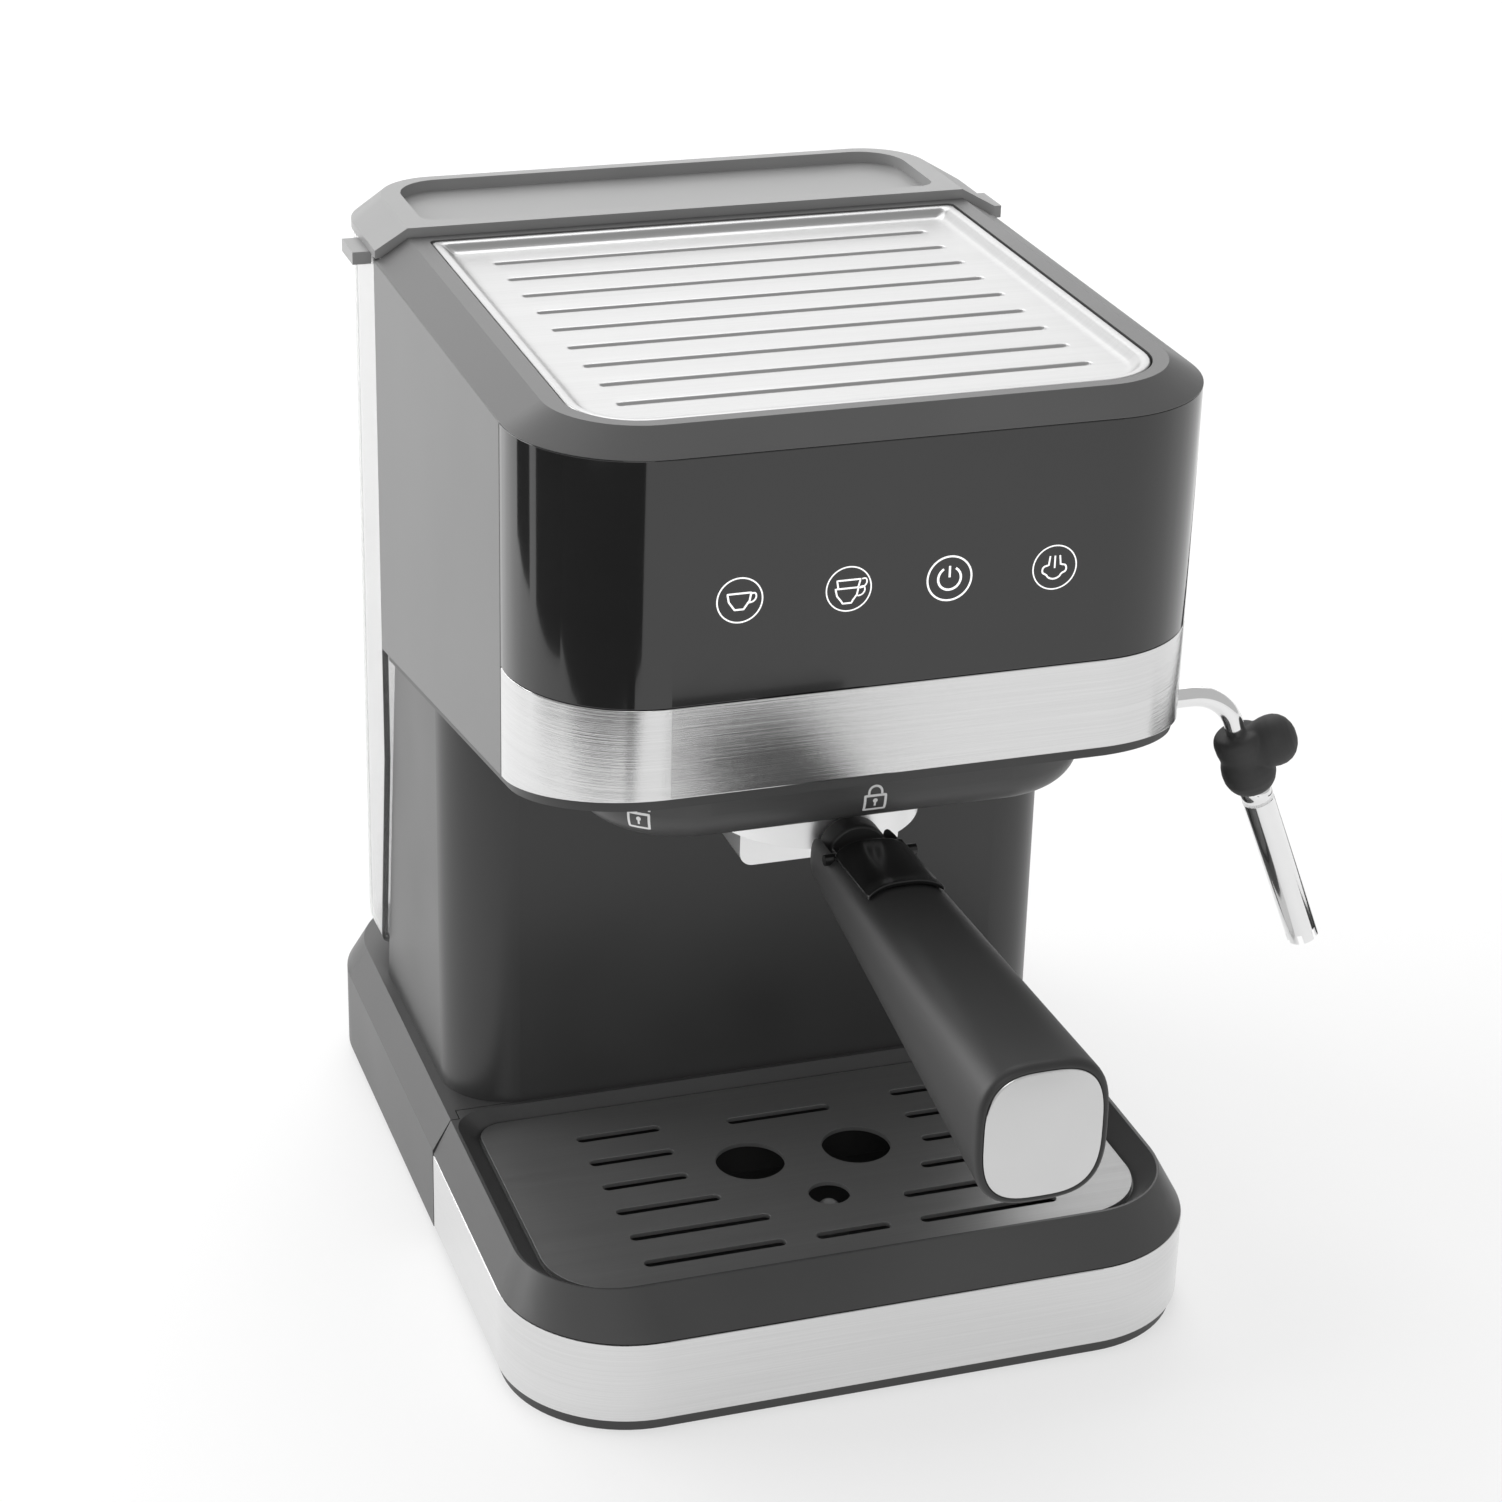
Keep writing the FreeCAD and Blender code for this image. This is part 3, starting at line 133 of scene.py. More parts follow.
def make_materials():
    mats = {
        "black_plastic": moulded("satin_black_plastic", 0.042, 0.42),
        "grey_panel": moulded("satin_side_panel", 0.11, 0.34, 1100.0, 0.15),
        "soft_black": moulded("soft_touch_black", 0.022, 0.5, 2200.0, 0.1),
        "rubber": moulded("black_rubber", 0.03, 0.62, 900.0, 0.2),
        "grey_plastic": moulded("grey_plastic", 0.22, 0.45),
        "circuit_board": moulded("circuit_board", 0.08, 0.5),
        "brushed_steel": brushed("brushed_steel_band", 0.72, 0.13, (14.0, 14.0, 2600.0), 0.3, 0.07),
        "polished_steel": polished("polished_steel", 0.86, 0.06),
        "cast_metal": polished("cast_aluminium", 0.86, 0.34),
        "copper_pipe": polished("copper_tube", 0.5, 0.3),
    }
    gloss = Paint("piano_black", IOR=1.5)
    gloss.shader.inputs["Coat Weight"].default_value = 0.4
    gloss.shader.inputs["Coat Roughness"].default_value = 0.03
    film = gloss.noise(30.0, detail=6.0)
    gloss.colour(film, 0.012, 0.017)
    gloss.roughness(gloss.noise(140.0, detail=6.0), 0.05, 0.11)
    gloss.bump(gloss.noise(9.0, detail=1.0), 0.05, 0.002)
    mats["gloss_black"] = gloss.made
    clear = Paint("clear_tank", IOR=1.49)
    clear.shader.inputs["Transmission Weight"].default_value = 0.94
    haze = clear.noise(40.0)
    clear.colour(haze, 0.84, 0.9)
    clear.roughness(haze, 0.05, 0.13)
    mats["clear_plastic"] = clear.made
    mark = Paint("lit_mark", IOR=1.45)
    mark.colour(mark.noise(400.0), 0.82, 0.9)
    mark.roughness(mark.noise(200.0), 0.4, 0.5)
    mark.shader.inputs["Emission Color"].default_value = grey(1.0)
    mark.shader.inputs["Emission Strength"].default_value = 0.55
    mats["white_mark"] = mark.made
    print_white = Paint("printed_mark", IOR=1.45)
    print_white.colour(print_white.noise(300.0), 0.74, 0.84)
    print_white.roughness(print_white.noise(200.0), 0.5, 0.6)
    mats["printed_mark"] = print_white.made
    clip = Paint("glossy_clip", IOR=1.5)
    clip.colour(clip.noise(40.0, detail=5.0), 0.005, 0.008)
    clip.roughness(clip.noise(180.0, detail=5.0), 0.16, 0.26)
    clip.bump(clip.noise(900.0), 0.03, 0.0001)
    mats["clip_black"] = clip.made
    mats["end_plate"] = polished("mirror_end_plate", 0.62, 0.1)
    # The lid and deck tones are raised above the black plastic: painted sheen standing in for the back
    # light's reflection on their tops.
    mats["lid"] = moulded("satin_lid_painted_sheen", 0.26, 0.34)
    mats["deck"] = moulded("satin_deck_painted_sheen", 0.088, 0.36)
    mats["base"] = moulded("satin_base", 0.06, 0.4)
    mats["column"] = moulded("satin_column", 0.037, 0.335)
    mats["grill"] = brushed("dark_brushed_grill", 0.34, 0.3, (12.0, 2400.0, 40.0), 0.3, metal=0.75)
    mats["cup_plate"] = brushed("brushed_cup_plate", 0.45, 0.26, (12.0, 1800.0, 40.0), 0.12)
    return mats


MATS = make_materials()
SLOT_OF = {part["node"]: part["material_slot"] for part in frame["record"]["subparts"]}
SPECIAL = {
    "drip_grill": "grill", "cup_plate": "cup_plate", "tank_lid": "lid", "top_deck": "deck",
    "base_shell": "base", "drip_tray": "base", "column_housing": "column",
    "brew_head_skirt": "base", "clip_pin": "clip_black",
}
EASED_MM = {
    "drip_grill": 0.25, "tank_lid": 0.6, "top_deck": 0.5, "drip_tray": 0.4, "base_shell": 0.5,
    "control_panel": 0.3, "head_steel_band": 0.3, "tray_steel_band": 0.3, "side_panel_left": 0.4,
    "side_panel_right": 0.4, "brew_head_skirt": 0.5, "coffee_spout": 0.6, "filter_holder": 0.5,
    "frother_sleeve": 0.2, "cord_gland": 0.5, "tray_float": 0.5,
}


def dress(obj, key):
    obj.data.materials.clear()
    obj.data.materials.append(MATS[key])
    for face in obj.data.polygons:
        face.material_index = 0


def bevelled(obj, width, segments, angle):
    """Bevels the edges sharper than an angle in degrees; width in millimetres."""
    bevel = obj.modifiers.new("Bevel", "BEVEL")
    bevel.width, bevel.segments = width * MM, segments
    bevel.limit_method, bevel.angle_limit = "ANGLE", math.radians(angle)
    obj.modifiers.new("Normals", "WEIGHTED_NORMAL").keep_sharp = True


def dress_nodes():
    """Gives every CAD node its material, and the outer shells small rounded edges."""
    for name, obj in NODES.items():
        dress(obj, SPECIAL.get(name, SLOT_OF[name]))
    for name, width in EASED_MM.items():
        NODES[name].modifiers.new("Weld", "WELD").merge_threshold = 0.002 * MM
        bevelled(NODES[name], width, 2, 32.0)


dress_nodes()


# ---------------------------------------------------------------- mesh helpers
def piece(name, bm, key, body, smooth=True):
    """A finished mesh, in metres, that rides on a CAD body."""
    bmesh.ops.recalc_face_normals(bm, faces=bm.faces)
    mesh = bpy.data.meshes.new(name)
    bm.to_mesh(mesh)
    bm.free()
    mesh.transform(Matrix.Scale(MM, 4))
    for face in mesh.polygons:
        face.use_smooth = smooth
    obj = bpy.data.objects.new(name, mesh)
    bpy.context.scene.collection.objects.link(obj)
    mesh.materials.append(MATS[key])
    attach(obj, body)
    return obj


def rounded(obj, width, segments=3, angle=35.0):
    """Rounded edges for a piece, width in millimetres."""
    bevelled(obj, width, segments, angle)


def loft(bm, rings, first=True, last=True):
    """Quads between rings that have the same number of points."""
    made = [[bm.verts.new(point) for point in ring] for ring in rings]
    count = len(made[0])
    for low, high in zip(made, made[1:]):
        for i in range(count):
            j = (i + 1) % count
            bm.faces.new((low[i], low[j], high[j], high[i]))
    if first:
        bm.faces.new(made[0][::-1])
    if last:
        bm.faces.new(made[-1])


def oval(half_x, half_z, power, count=72):
    """Points of a superellipse, from +X towards +Z."""
    points = []
    for i in range(count):
        a = 2 * math.pi * i / count
        c, s = math.cos(a), math.sin(a)
        points.append((half_x * math.copysign(abs(c) ** (2 / power), c),
                       half_z * math.copysign(abs(s) ** (2 / power), s)))
    return points


def block(bm, low, high):
    """A box between two corners, inside a larger mesh."""
    for vert in bmesh.ops.create_cube(bm, size=1.0)["verts"]:
        for k in range(3):
            vert.co[k] = low[k] if vert.co[k] < 0 else high[k]


def cut_away(obj, bm):
    """Boolean difference with a mesh in millimetres, applied."""
    mesh = bpy.data.meshes.new("cutter")
    bmesh.ops.recalc_face_normals(bm, faces=bm.faces)
    bm.to_mesh(mesh)
    bm.free()
    mesh.transform(Matrix.Scale(MM, 4))
    cutter = bpy.data.objects.new("cutter", mesh)
    bpy.context.scene.collection.objects.link(cutter)
    difference = obj.modifiers.new("Cut", "BOOLEAN")
    difference.operation, difference.object, difference.solver = "DIFFERENCE", cutter, "EXACT"
    settle(obj)
    bpy.data.objects.remove(cutter)


def settle(obj):
    """Applies an object's modifiers to its mesh."""
    bpy.context.view_layer.update()
    graph = bpy.context.evaluated_depsgraph_get()
    mesh = bpy.data.meshes.new_from_object(obj.evaluated_get(graph))
    obj.modifiers.clear()
    obj.data = mesh


# ---------------------------------------------------------------- filter holder handle
HANDLE_NEAR, HANDLE_END = -86.2, -230.4
CLIP_PIN_Y, CLIP_PIN_Z = -104.0, 157.6
CLIP_HALF, CLIP_REAR, CLIP_LENGTH = 10.9, -103.4, 28.6
CLIP_CREST, CLIP_THICK, CLIP_GAP = 161.2, 1.15, 0.3


def handle_shape(y):
    """Half width, low, high and squareness of the handle at a distance along it."""
    t = (HANDLE_NEAR - y) / (HANDLE_NEAR - HANDLE_END)
    return 12.5 + 5.5 * t, 142.9 - 21.2 * t, 160.6 + 1.1 * t, 2.7 + 0.4 * t


def handle_ring(y, inset=0.0, depth=0.0):
    half, low, high, power = handle_shape(y)
    mid = (low + high) / 2
    return [(x, y - depth, mid + z) for x, z in oval(half - inset, (high - low) / 2 - inset, power)]


def make_handle():
    bm = bmesh.new()
    rings = []
    for step in range(7):
        lean = math.radians(15 * step)
        y = HANDLE_NEAR + 1.4 - 9.0 * (1 - math.cos(lean))
        rings.append(handle_ring(y, 4.6 * (1 - math.sin(lean))))
    rings += [handle_ring(y) for y in (-100, -112, -125, -140, -160, -180, -200, -218, -227.6)]
    rings += [handle_ring(-229.0, 0.15), handle_ring(-229.9, 0.6), handle_ring(-230.35, 1.2),
              handle_ring(-230.4, 1.6), handle_ring(-230.3, 1.95), handle_ring(-229.6, 2.1)]
    loft(bm, rings)
    handle = piece("holder_handle_grip", bm, "soft_black", "filter_holder")
    cutter = bmesh.new()
    block(cutter, (-10.4, -112.0, 154.0), (10.4, -70.0, 175.0))
    cut_away(handle, cutter)
    cutter = bmesh.new()
    block(cutter, (-14.0, -85.4, 130.0), (14.0, -70.0, 175.0))
    cut_away(handle, cutter)
    for face in handle.data.polygons:
        face.use_smooth = True
    rounded(handle, 0.7, 3, 40.0)
    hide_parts("holder_handle")

    bm = bmesh.new()
    arch = []
    for y, r in ((-87.0, 8.2), (-87.3, 8.9), (-88.2, 9.2), (-93.6, 9.2), (-94.6, 8.9), (-94.9, 8.3)):
        arch.append([(r * math.cos(a), y, 152.8 + r * math.sin(a))
                     for a in [math.pi * i / 28 for i in range(29)]] + [(-r, y, 146.0), (r, y, 146.0)])
    loft(bm, arch)
    dome = piece("holder_neck_arch", bm, "soft_black", "filter_holder")
    rounded(dome, 0.3, 2, 50.0)

    bm = bmesh.new()
    half, low, high, power = handle_shape(HANDLE_END)
    mid = (low + high) / 2
    rings = []
    for inset, y in ((2.15, -229.2), (2.15, -230.3), (2.25, -230.45), (2.45, -230.5), (2.6, -230.5),
                     (5.0, -230.51), (9.0, -230.52), (13.0, -230.53)):
        rings.append([(x, y, mid + z) for x, z in oval(half - inset, (high - low) / 2 - inset, power)])
    loft(bm, rings)
    plate = piece("handle_end_mirror", bm, "end_plate", "filter_holder")
    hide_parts("handle_end_plate")


def make_clip():
    """Arched retaining flap on the handle, with two cheeks that hang on the pin."""
    bm = bmesh.new()
    across, along = 24, 18

    def top(x, y):
        half, low, high, power = handle_shape(y)
        b = (high - low) / 2
        crown = (low + high) / 2 + b * (1 - (abs(x) / half) ** power) ** (1 / power)
        return crown + CLIP_GAP

    grid = {}
    for side, thick in ((0, 0.0), (1, CLIP_THICK)):
        for i in range(across + 1):
            for j in range(along + 1):
                x = CLIP_HALF * (2 * i / across - 1)
                y = CLIP_REAR - CLIP_LENGTH * j / along - 0.012 * (x * x - 60.0) * (j / along)
                y -= 1.8 * (x / CLIP_HALF) ** 4 * (1 - j / along)
                lift = (0.55 if side else 0.25) * math.exp(-((j - along) / 1.6) ** 2)
                grid[side, i, j] = bm.verts.new((x, y, min(top(x, y), CLIP_CREST) + thick + lift))
    for i in range(across):
        for j in range(along):
            bm.faces.new([grid[1, a, b] for a, b in ((i, j), (i + 1, j), (i + 1, j + 1), (i, j + 1))])
            bm.faces.new([grid[0, a, b] for a, b in ((i, j), (i, j + 1), (i + 1, j + 1), (i + 1, j))])
    for i in range(across):
        for j in (0, along):
            bm.faces.new([grid[s, a, j] for s, a in ((0, i), (0, i + 1), (1, i + 1), (1, i))])
    for j in range(along):
        for i in (0, across):
            bm.faces.new([grid[s, i, b] for s, b in ((0, j), (0, j + 1), (1, j + 1), (1, j))])
    for side in (-1, 1):
        ring = [(CLIP_PIN_Y + 2.8 * math.cos(a), CLIP_PIN_Z + 2.8 * math.sin(a))
                for a in [math.pi * (1 + i / 12) for i in range(13)]]
        ring += [(-101.2, 160.0), (-106.8, 160.0)]
        loft(bm, [[(x * side, y, z) for y, z in ring] for x in (8.2, 10.2)])
    clip = piece("holder_clip_flap", bm, "clip_black", "filter_clip")
    rounded(clip, 0.42, 3, 45.0)
    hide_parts("filter_clip")


# ---------------------------------------------------------------- steam wand
WAND_TILT = math.radians(21.8)
WAND_DOWN = Vector((math.sin(WAND_TILT), 0.0, -math.cos(WAND_TILT)))
WAND_ELBOW = Vector((127.5, -57.6, 171.3))
WAND_RADIUS = 3.0


def make_grip():
    """The thumb grip of the wand, with its side lobe, and the collar of the sleeve under it."""
    down, elbow = WAND_DOWN, WAND_ELBOW
    bm = bmesh.new()

    def turned(start, axis, profile, count=40):
        side = axis.cross(Vector((0.0, 1.0, 0.0))).normalized()
        other = axis.cross(side)
        rings = [[start + axis * d + (side * math.cos(a) + other * math.sin(a)) * r
                  for a in [2 * math.pi * i / count for i in range(count)]] for d, r in profile]
        loft(bm, rings)

    turned(elbow, down, [(14.4, 5.4), (14.7, 6.6), (15.6, 7.4), (17.2, 7.8), (20.0, 7.7), (22.2, 7.3),
                         (23.6, 7.3), (25.4, 7.9), (27.8, 8.2), (30.4, 8.0), (32.6, 7.2), (34.0, 6.2),
                         (34.7, 5.2)])
    out = Vector((0.88, -0.3, 0.36)).normalized()
    turned(elbow + down * 21.0, out, [(0.0, 6.4), (5.0, 7.0), (7.5, 7.7), (9.5, 7.9), (11.5, 7.7),
                                      (13.4, 6.9), (15.0, 5.5), (16.2, 3.4), (16.7, 1.5)])
    grip = piece("wand_thumb_grip", bm, "rubber", "steam_wand")
    remesh = grip.modifiers.new("Remesh", "REMESH")
    remesh.mode, remesh.voxel_size = "VOXEL", 0.00042
    smooth = grip.modifiers.new("Smooth", "SMOOTH")
    smooth.factor, smooth.iterations = 0.5, 3
    settle(grip)
    for face in grip.data.polygons:
        face.use_smooth = True
    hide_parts("wand_grip")

    bm = bmesh.new()
    turned(elbow, down, [(32.6, 4.2), (32.7, 4.85), (36.6, 4.9), (39.4, 4.9)])
    piece("sleeve_collar", bm, "polished_steel", "frother_sleeve")


def make_steam_pipe():
    """The bent tube of the steam wand, with a wide bend at its elbow."""
    foot = Vector((88.0, WAND_ELBOW.y, WAND_ELBOW.z))
    top = Vector((foot.x, foot.y, 190.6))
    corners = [top, foot, WAND_ELBOW, WAND_ELBOW + WAND_DOWN * 79.0]
    path = [corners[0]]
    for before, here, after, bend in zip(corners, corners[1:], corners[2:], (7.0, 16.0)):
        inward, outward = (here - before).normalized(), (after - here).normalized()
        turn = inward.angle(outward)
        reach = bend * math.tan(turn / 2)
        start, side = here - inward * reach, (outward - inward * inward.dot(outward)).normalized()
        for i in range(17):
            a = turn * i / 16
            path.append(start + inward * bend * math.sin(a) + side * bend * (1 - math.cos(a)))
    path.append(corners[3])
    sideways = Vector((0.0, 1.0, 0.0))
    bm = bmesh.new()
    rings = []
    for i, point in enumerate(path):
        along = (path[min(i + 1, len(path) - 1)] - path[max(i - 1, 0)]).normalized()
        across = along.cross(sideways).normalized()
        angles = [2 * math.pi * k / 36 for k in range(36)]
        rings.append([point + (across * math.cos(a) + sideways * math.sin(a)) * WAND_RADIUS
                      for a in angles])
    loft(bm, rings)
    pipe = piece("steam_pipe", bm, "polished_steel", "steam_wand")
    rounded(pipe, 0.3, 2, 60.0)
    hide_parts("wand_tube")


# ---------------------------------------------------------------- cup plate
def plate_ring(inset, z, radius, count=10):
    """Rounded rectangle of the cup plate, moved in by inset, with nearly square back corners."""
    half, front, rear = 81.6 - inset, -102.7 + inset, 61.3 - inset
    points = []
    for cx, cy, r, start in ((half, rear, 2.0, 0), (-half, rear, 2.0, 90), (-half, front, radius, 180),
                             (half, front, radius, 270)):
        sx, sy = math.copysign(1, cx), (1 if cy > 0 else -1)
        for i in range(count + 1):
            a = math.radians(start + 90 * i / count)
            points.append((cx - sx * r + r * math.cos(a), cy - sy * r + r * math.sin(a), z))
    return points


def make_cup_plate():
    """The pressed cup plate: a rolled lip, a floor and nine grooves across it."""
    bm = bmesh.new()
    lip, floor = 289.1, 286.5
    levels = [(0.0, lip - 2.2, 19.5), (0.0, lip - 0.5, 19.5), (0.2, lip - 0.1, 19.3),
              (0.6, lip, 18.9), (1.9, lip, 17.6), (2.4, lip - 0.15, 17.1),
              (2.9, lip - 0.45, 16.6), (3.3, lip - 0.9, 16.2), (4.6, floor + 0.55, 15.0),
              (5.4, floor + 0.18, 14.2), (6.4, floor + 0.02, 13.2), (7.4, floor, 12.4)]
    loft(bm, [plate_ring(*level) for level in levels], first=False, last=False)

    rear_groove, pitch, reach = 44.1, 15.7, 67.5
    grooves = [rear_groove - pitch * row for row in range(9)]
    profile = [(1.9, 0.0), (1.5, -0.04), (1.15, -0.3), (0.85, -0.72), (0.45, -0.92), (0.0, -0.98)]
    ys = sorted({52.9, -87.4} | {g + s * d for g in grooves for d, _ in profile for s in (-1, 1)} |
                {g + pitch / 2 for g in grooves[1:]})
    xs = [-70.2] + [-reach + d for d in (-0.3, 0.0, 0.35, 0.75, 1.2, 1.9, 3.0)]
    xs += [-58 + 11.6 * i for i in range(11)] + [-x for x in reversed(xs)]

    def sink(x, y):
        for g in grooves:
            if abs(y - g) > 2.0:
                continue
            over = max(0.0, abs(x) - (reach - 1.9))
            d = math.hypot(over, y - g)
            for (d0, z0), (d1, z1) in zip(profile, profile[1:]):
                if d >= d1:
                    return z0 + (z1 - z0) * min(1.0, max(0.0, (d0 - d) / (d0 - d1)))
            return profile[-1][1]
        return 0.0

    grid = [[bm.verts.new((x, y, floor + sink(x, y))) for x in xs] for y in ys]
    for low, high in zip(grid, grid[1:]):
        for i in range(len(xs) - 1):
            bm.faces.new((low[i], low[i + 1], high[i + 1], high[i]))
    inner = [e for e in bm.edges if e.is_boundary and
             all(abs(v.co.z - floor) < 1e-4 for v in e.verts)]
    bmesh.ops.triangle_fill(bm, use_beauty=True, edges=inner)
    plate = piece("cup_warming_plate", bm, "cup_plate", "machine")
    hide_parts("cup_plate")


# ---------------------------------------------------------------- marks
def smooth_path(points, closed=False, rounds=3):
    for _ in range(rounds):
        made = [] if closed else [points[0]]
        pairs = list(zip(points, points[1:])) + ([(points[-1], points[0])] if closed else [])
        for (ax, ay), (bx, by) in pairs:
            made += [(ax * 0.75 + bx * 0.25, ay * 0.75 + by * 0.25),
                     (ax * 0.25 + bx * 0.75, ay * 0.25 + by * 0.75)]
        points = made if closed else made + [points[-1]]
    return points


def arc(cx, cz, r, start, stop, count=40):
    angles = [math.radians(start + (stop - start) * i / count) for i in range(count + 1)]
    return [(cx + r * math.cos(a), cz + r * math.sin(a)) for a in angles]


def stroke(bm, points, width, place, closed=False):
    """A flat ribbon along a path, laid on a surface by place(x, z)."""
    count = len(points)
    pairs = []
    for i, (x, z) in enumerate(points):
        before = points[i - 1] if (closed or i) else points[i]
        after = points[(i + 1) % count] if (closed or i + 1 < count) else points[i]
        dx, dz = after[0] - before[0], after[1] - before[1]
        size = math.hypot(dx, dz) or 1.0
        nx, nz = -dz / size * width / 2, dx / size * width / 2
        pairs.append((bm.verts.new(place(x + nx, z + nz)), bm.verts.new(place(x - nx, z - nz))))
    for i in range(count if closed else count - 1):
        a, b = pairs[i], pairs[(i + 1) % count]
        bm.faces.new((a[0], a[1], b[1], b[0]))


def dense(points, step=0.35, closed=False):
    """Adds points along straight runs, with sharp corners kept by close neighbours."""
    made = []
    pairs = list(zip(points, points[1:])) + ([(points[-1], points[0])] if closed else [])
    for (ax, ay), (bx, by) in pairs:
        size = math.hypot(bx - ax, by - ay)
        parts = max(2, int(size / step))
        made += [(ax + (bx - ax) * i / parts, ay + (by - ay) * i / parts) for i in range(parts)]
    return made if closed else made + [points[-1]]


def thicken(bm, offset):
    """Gives the flat marks a little body."""
    faces = bm.faces[:]
    bmesh.ops.recalc_face_normals(bm, faces=faces)
    made = bmesh.ops.extrude_face_region(bm, geom=faces)
    for item in made["geom"]:
        if isinstance(item, bmesh.types.BMVert):
            item.co += Vector(offset)


def make_icons():
    """Ringed touch marks: one cup, two cups, power and steam."""
    bm = bmesh.new()
    z0, front = 242.8, -116.1
    one_cup, two_cups, power, steam = -43.65, -13.72, 14.44, 44.38

    def on(cx):
        return lambda x, z: (cx + x, front, z0 + z)

    for cx, width in ((one_cup, 0.4), (two_cups, 0.36), (power, 0.5), (steam, 0.36)):
        stroke(bm, arc(0, 0, 6.2, 0, 354, 71), width, on(cx), closed=True)
    bowl = [(-3.4, 1.9), (3.1, 1.9), (2.7, -0.3), (1.5, -2.0), (1.1, -2.6), (-1.4, -2.6),
            (-1.8, -2.0), (-3.0, -0.3)]
    stroke(bm, dense(bowl, closed=True), 0.5, on(one_cup), closed=True)
    ear = smooth_path([(3.1, 1.6), (4.3, 1.8), (4.6, 0.4), (3.7, -0.7), (2.5, -0.9)])
    stroke(bm, ear, 0.42, on(one_cup))
    low = [(-3.7, 0.2), (2.7, 0.2), (2.3, -1.8), (1.2, -3.3), (0.8, -4.0), (-1.6, -4.0),
           (-2.0, -3.3), (-3.2, -1.8)]
    stroke(bm, dense(low, closed=True), 0.46, on(two_cups), closed=True)
    stroke(bm, dense([(-2.9, 0.2), (-3.3, 2.5), (3.2, 2.5), (2.6, 0.2)]), 0.46, on(two_cups))
    for shift in ((0.5, 0.9), (0.0, -1.3)):
        stroke(bm, [(x + shift[0], z + shift[1]) for x, z in ear], 0.38, on(two_cups))
    stroke(bm, arc(0, 0, 3.2, 122, 418, 60), 0.62, on(power))
    stroke(bm, dense([(0.0, 0.3), (0.0, 3.5)]), 0.58, on(power))
    cloud = [(-1.9, 0.7), (-3.4, 0.4), (-3.6, -1.3), (-2.3, -1.9), (-1.7, -2.9), (-0.1, -3.4),
             (1.5, -2.8), (2.0, -1.8), (3.4, -1.3), (3.3, 0.4), (1.9, 0.7)]
    stroke(bm, smooth_path(cloud), 0.46, on(steam))
    for x, lean in ((-1.4, -0.35), (0.0, 0.0), (1.4, 0.3)):
        stroke(bm, dense([(x + lean, 0.6 if x else -0.2), (x, 3.3)]), 0.44, on(steam))
    thicken(bm, (0.0, 0.06, 0.0))
    icons = piece("touch_symbols", bm, "white_mark", "machine", smooth=False)
    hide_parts("icon_rings")


def skirt_point(s, z):
    """Point on the brew head skirt, s along its outline from the middle and z up, just proud of it."""
    fall = max(0.0, 172.0 - z)
    inset = 9.0 - math.sqrt(81.0 - fall * fall) - 0.06
    if s < -44.0:
        a = (-44.0 - s) / 30.0
        return (-44.0 - (30.0 - inset) * math.sin(a), -67.6 - (30.0 - inset) * math.cos(a), z)
    return (s, -97.6 + inset, z)


def make_locks():
    """A closed padlock at the locked place and an open one at the unlocked place."""
    bm = bmesh.new()
    case = dense([(-3.0, -3.5), (3.0, -3.5), (3.0, 1.1), (-3.0, 1.1)], 0.3, True)
    for centre, swing in ((3.4, 0.0), (-64.2, 1.0)):
        def on(x, z, c=centre):
            return skirt_point(c + x, 171.2 + z)
        stroke(bm, case, 0.75, on, closed=True)
        shackle = [(-1.9, 1.3)] + arc(0, 2.1, 1.9, 180, 0, 20) + ([(1.9, 1.3)] if not swing else [])
        stroke(bm, [(x + swing * 1.2, z) for x, z in shackle], 0.7, on)
        stroke(bm, arc(0, -0.5, 0.35, 0, 330, 11), 0.7, on, closed=True)
        stroke(bm, dense([(0, -0.7), (0, -2.3)], 0.3), 0.6, on)
    piece("lock_symbols", bm, "printed_mark", "machine", smooth=False)


# ---------------------------------------------------------------- steam knob
KNOB_Z = 240.0


def make_knob():
    """Ribbed steam knob with a dished face, a pointer mark and its stem."""
    bm = bmesh.new()
    rings = []
    for x, r, grip in ((98.5, 12.5, 0), (98.6, 14.2, 0), (99.3, 14.8, 0.3), (100.5, 14.9, 1),
                       (110.4, 14.4, 1), (112.2, 14.0, 0.5), (113.1, 13.1, 0), (113.5, 11.6, 0),
                       (113.45, 11.0, 0), (113.0, 10.6, 0), (112.8, 9.0, 0), (112.8, 3.0, 0)):
        ring = []
        for i in range(144):
            a = 2 * math.pi * i / 144
            ridge = -0.28 * grip * (0.5 + 0.5 * math.cos(24 * a))
            ring.append((x, (r + ridge) * math.cos(a), KNOB_Z + (r + ridge) * math.sin(a)))
        rings.append(ring)
    loft(bm, rings)
    knob = piece("steam_knob_grip", bm, "black_plastic", "steam_knob")
    stem = bmesh.new()
    loft(stem, [[(x, 3.9 * math.cos(a), KNOB_Z + 3.9 * math.sin(a))
                 for a in [2 * math.pi * i / 32 for i in range(32)]] for x in (72.0, 99.0)])
    rod = piece("steam_knob_stem", stem, "polished_steel", "steam_knob")
    rounded(rod, 0.3)
    mark = bmesh.new()
    stroke(mark, [(0.0, 6.0), (0.0, 10.0)], 1.1, lambda y, z: (112.9, y, KNOB_Z + z))
    thicken(mark, (-0.1, 0.0, 0.0))
    piece("steam_knob_mark", mark, "printed_mark", "steam_knob", smooth=False)
    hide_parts("steam_knob")


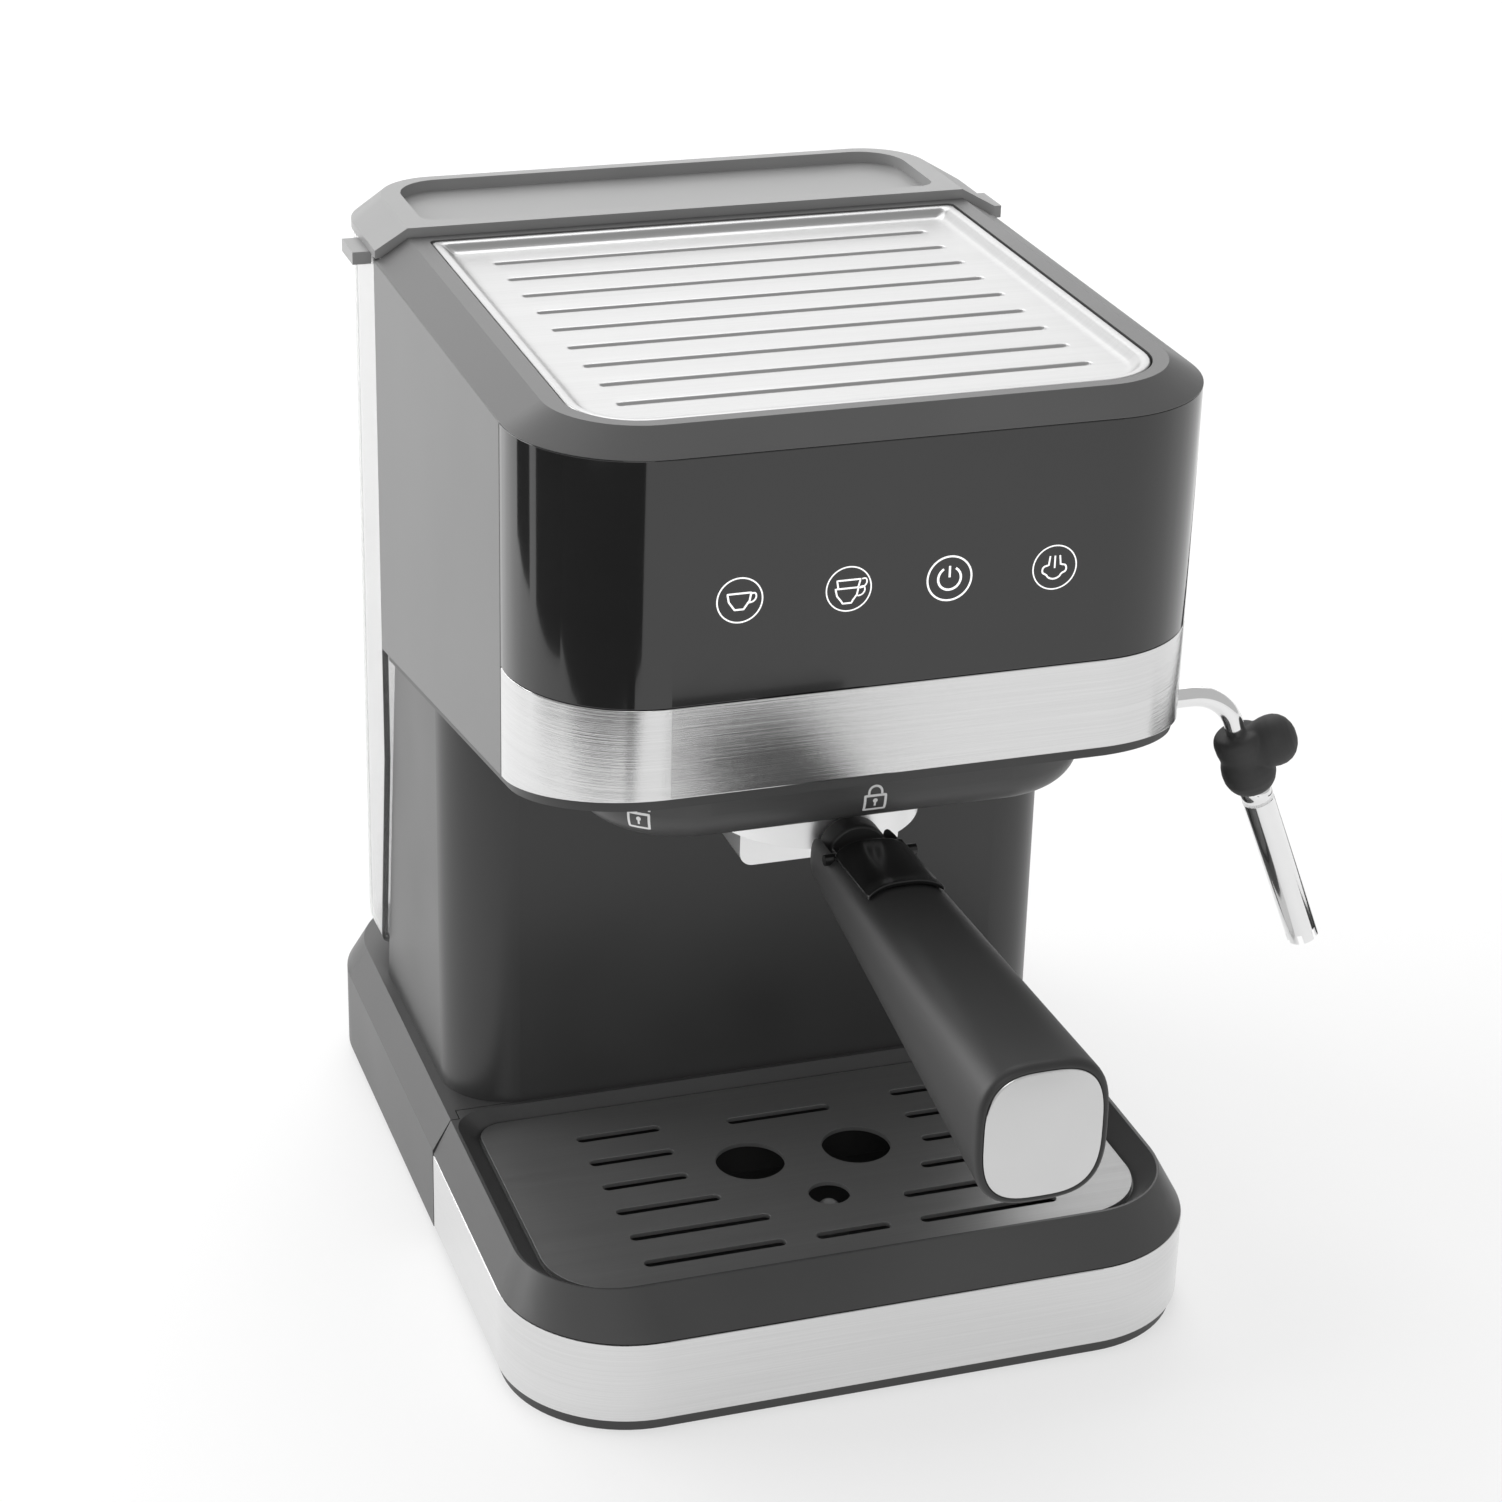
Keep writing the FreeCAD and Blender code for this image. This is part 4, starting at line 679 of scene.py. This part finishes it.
# ---------------------------------------------------------------- camera, light and floor
def make_camera():
    data = bpy.data.cameras.new("camera")
    data.sensor_width, data.lens = 36.0, 85.33
    data.clip_start, data.clip_end = 0.05, 20.0
    cam = bpy.data.objects.new("camera", data)
    bpy.context.scene.collection.objects.link(cam)
    side, up = (0.94890, -0.31468, 0.02373), (0.11250, 0.40757, 0.90621)
    back = (-0.29484, -0.85723, 0.42215)
    turn = Matrix((side, up, back)).transposed()
    cam.matrix_world = Matrix.Translation((-0.3164, -0.9211, 0.5958)) @ turn.to_4x4()
    bpy.context.scene.camera = cam


def area_light(name, at, aim, size, power, tall=None):
    data = bpy.data.lights.new(name, "AREA")
    data.energy, data.size, data.shape = power, size, "RECTANGLE"
    data.size_y = tall or size
    lamp = bpy.data.objects.new(name, data)
    bpy.context.scene.collection.objects.link(lamp)
    lamp.location = at
    lamp.rotation_mode = "QUATERNION"
    lamp.rotation_quaternion = (Vector(aim) - Vector(at)).to_track_quat("-Z", "Y")


CARD_TONE = 0.03


def card(name, start, end, low, high):
    """A plain upright dark card between two floor points, which only shows in reflections, where it
    paints dark reflections into the glossy parts.
    """
    bm = bmesh.new()
    corners = ((start, low), (end, low), (end, high), (start, high))
    bm.faces.new([bm.verts.new((x, y, z)) for (x, y), z in corners])
    mesh = bpy.data.meshes.new(name)
    bm.to_mesh(mesh)
    bm.free()
    obj = bpy.data.objects.new(name, mesh)
    bpy.context.scene.collection.objects.link(obj)
    paint = Paint(name, IOR=1.3)
    slow = paint.noise(2.0)
    paint.colour(slow, CARD_TONE, CARD_TONE * 1.1)
    paint.roughness(slow, 0.9, 1.0)
    mesh.materials.append(paint.made)
    obj.visible_camera = obj.visible_diffuse = obj.visible_shadow = False
    obj.visible_transmission = obj.visible_volume_scatter = False


def make_studio():
    world = bpy.data.worlds.new("studio")
    world.use_nodes = True
    world.node_tree.nodes["Background"].inputs["Color"].default_value = grey(0.93)
    world.node_tree.nodes["Background"].inputs["Strength"].default_value = 0.58
    bpy.context.scene.world = world
    area_light("top_softbox", (0.2, 1.5, 2.3), (0, 0.1, 0.2), 1.6, 22.0)
    area_light("back_softbox", (0.2, 2.0, 1.0), (0, 0, 0.28), 3.0, 13.0, 1.2)
    area_light("left_softbox", (-1.6, 1.1, 0.75), (0, 0, 0.12), 1.5, 29.0, 1.3)
    area_light("front_softbox", (-0.5, -2.0, 1.1), (0, 0, 0.1), 0.9, 7.0)
    # Dark cards seen only in reflections paint dark reflections into the gloss panel and steel bands;
    # the right card paints the floor shade beside the base into the tray band.
    card("right_card", (0.42, -0.15), (0.42, 0.6), 0.0, 0.034)
    card("side_card", (-0.52, 0.3), (-0.56, 0.12), 0.03, 0.15)
    card("rear_left_card", (-0.56, 0.05), (-0.52, -0.18), 0.035, 0.16)
    card("left_card", (-0.52, -0.18), (-0.13, -0.53), 0.045, 0.16)
    card("corner_card", (-0.215, -0.48), (-0.165, -0.51), 0.0, 0.05)
    card("front_card", (0.04, -0.5), (0.13, -0.5), 0.0, 0.036)

    mesh = bpy.data.meshes.new("floor")
    bm = bmesh.new()
    bmesh.ops.create_grid(bm, x_segments=8, y_segments=8, size=6.0)
    bm.to_mesh(mesh)
    bm.free()
    floor = bpy.data.objects.new("floor", mesh)
    floor.location.z = -0.0002
    bpy.context.scene.collection.objects.link(floor)
    paint = Paint("pale_floor", IOR=1.45)
    slow = paint.noise(1.3, detail=2.0)
    paint.colour(slow, 0.4, 0.42)
    paint.roughness(slow, 0.7, 0.8)
    paint.shader.inputs["Emission Color"].default_value = grey(1.0)
    paint.shader.inputs["Emission Strength"].default_value = 0.57
    paint.shader.inputs["Specular IOR Level"].default_value = 0.1
    mesh.materials.append(paint.made)


make_handle()
make_clip()
make_grip()
make_steam_pipe()
make_cup_plate()
make_icons()
make_locks()
make_knob()
make_camera()
make_studio()
bpy.context.scene.view_settings.view_transform = "Standard"
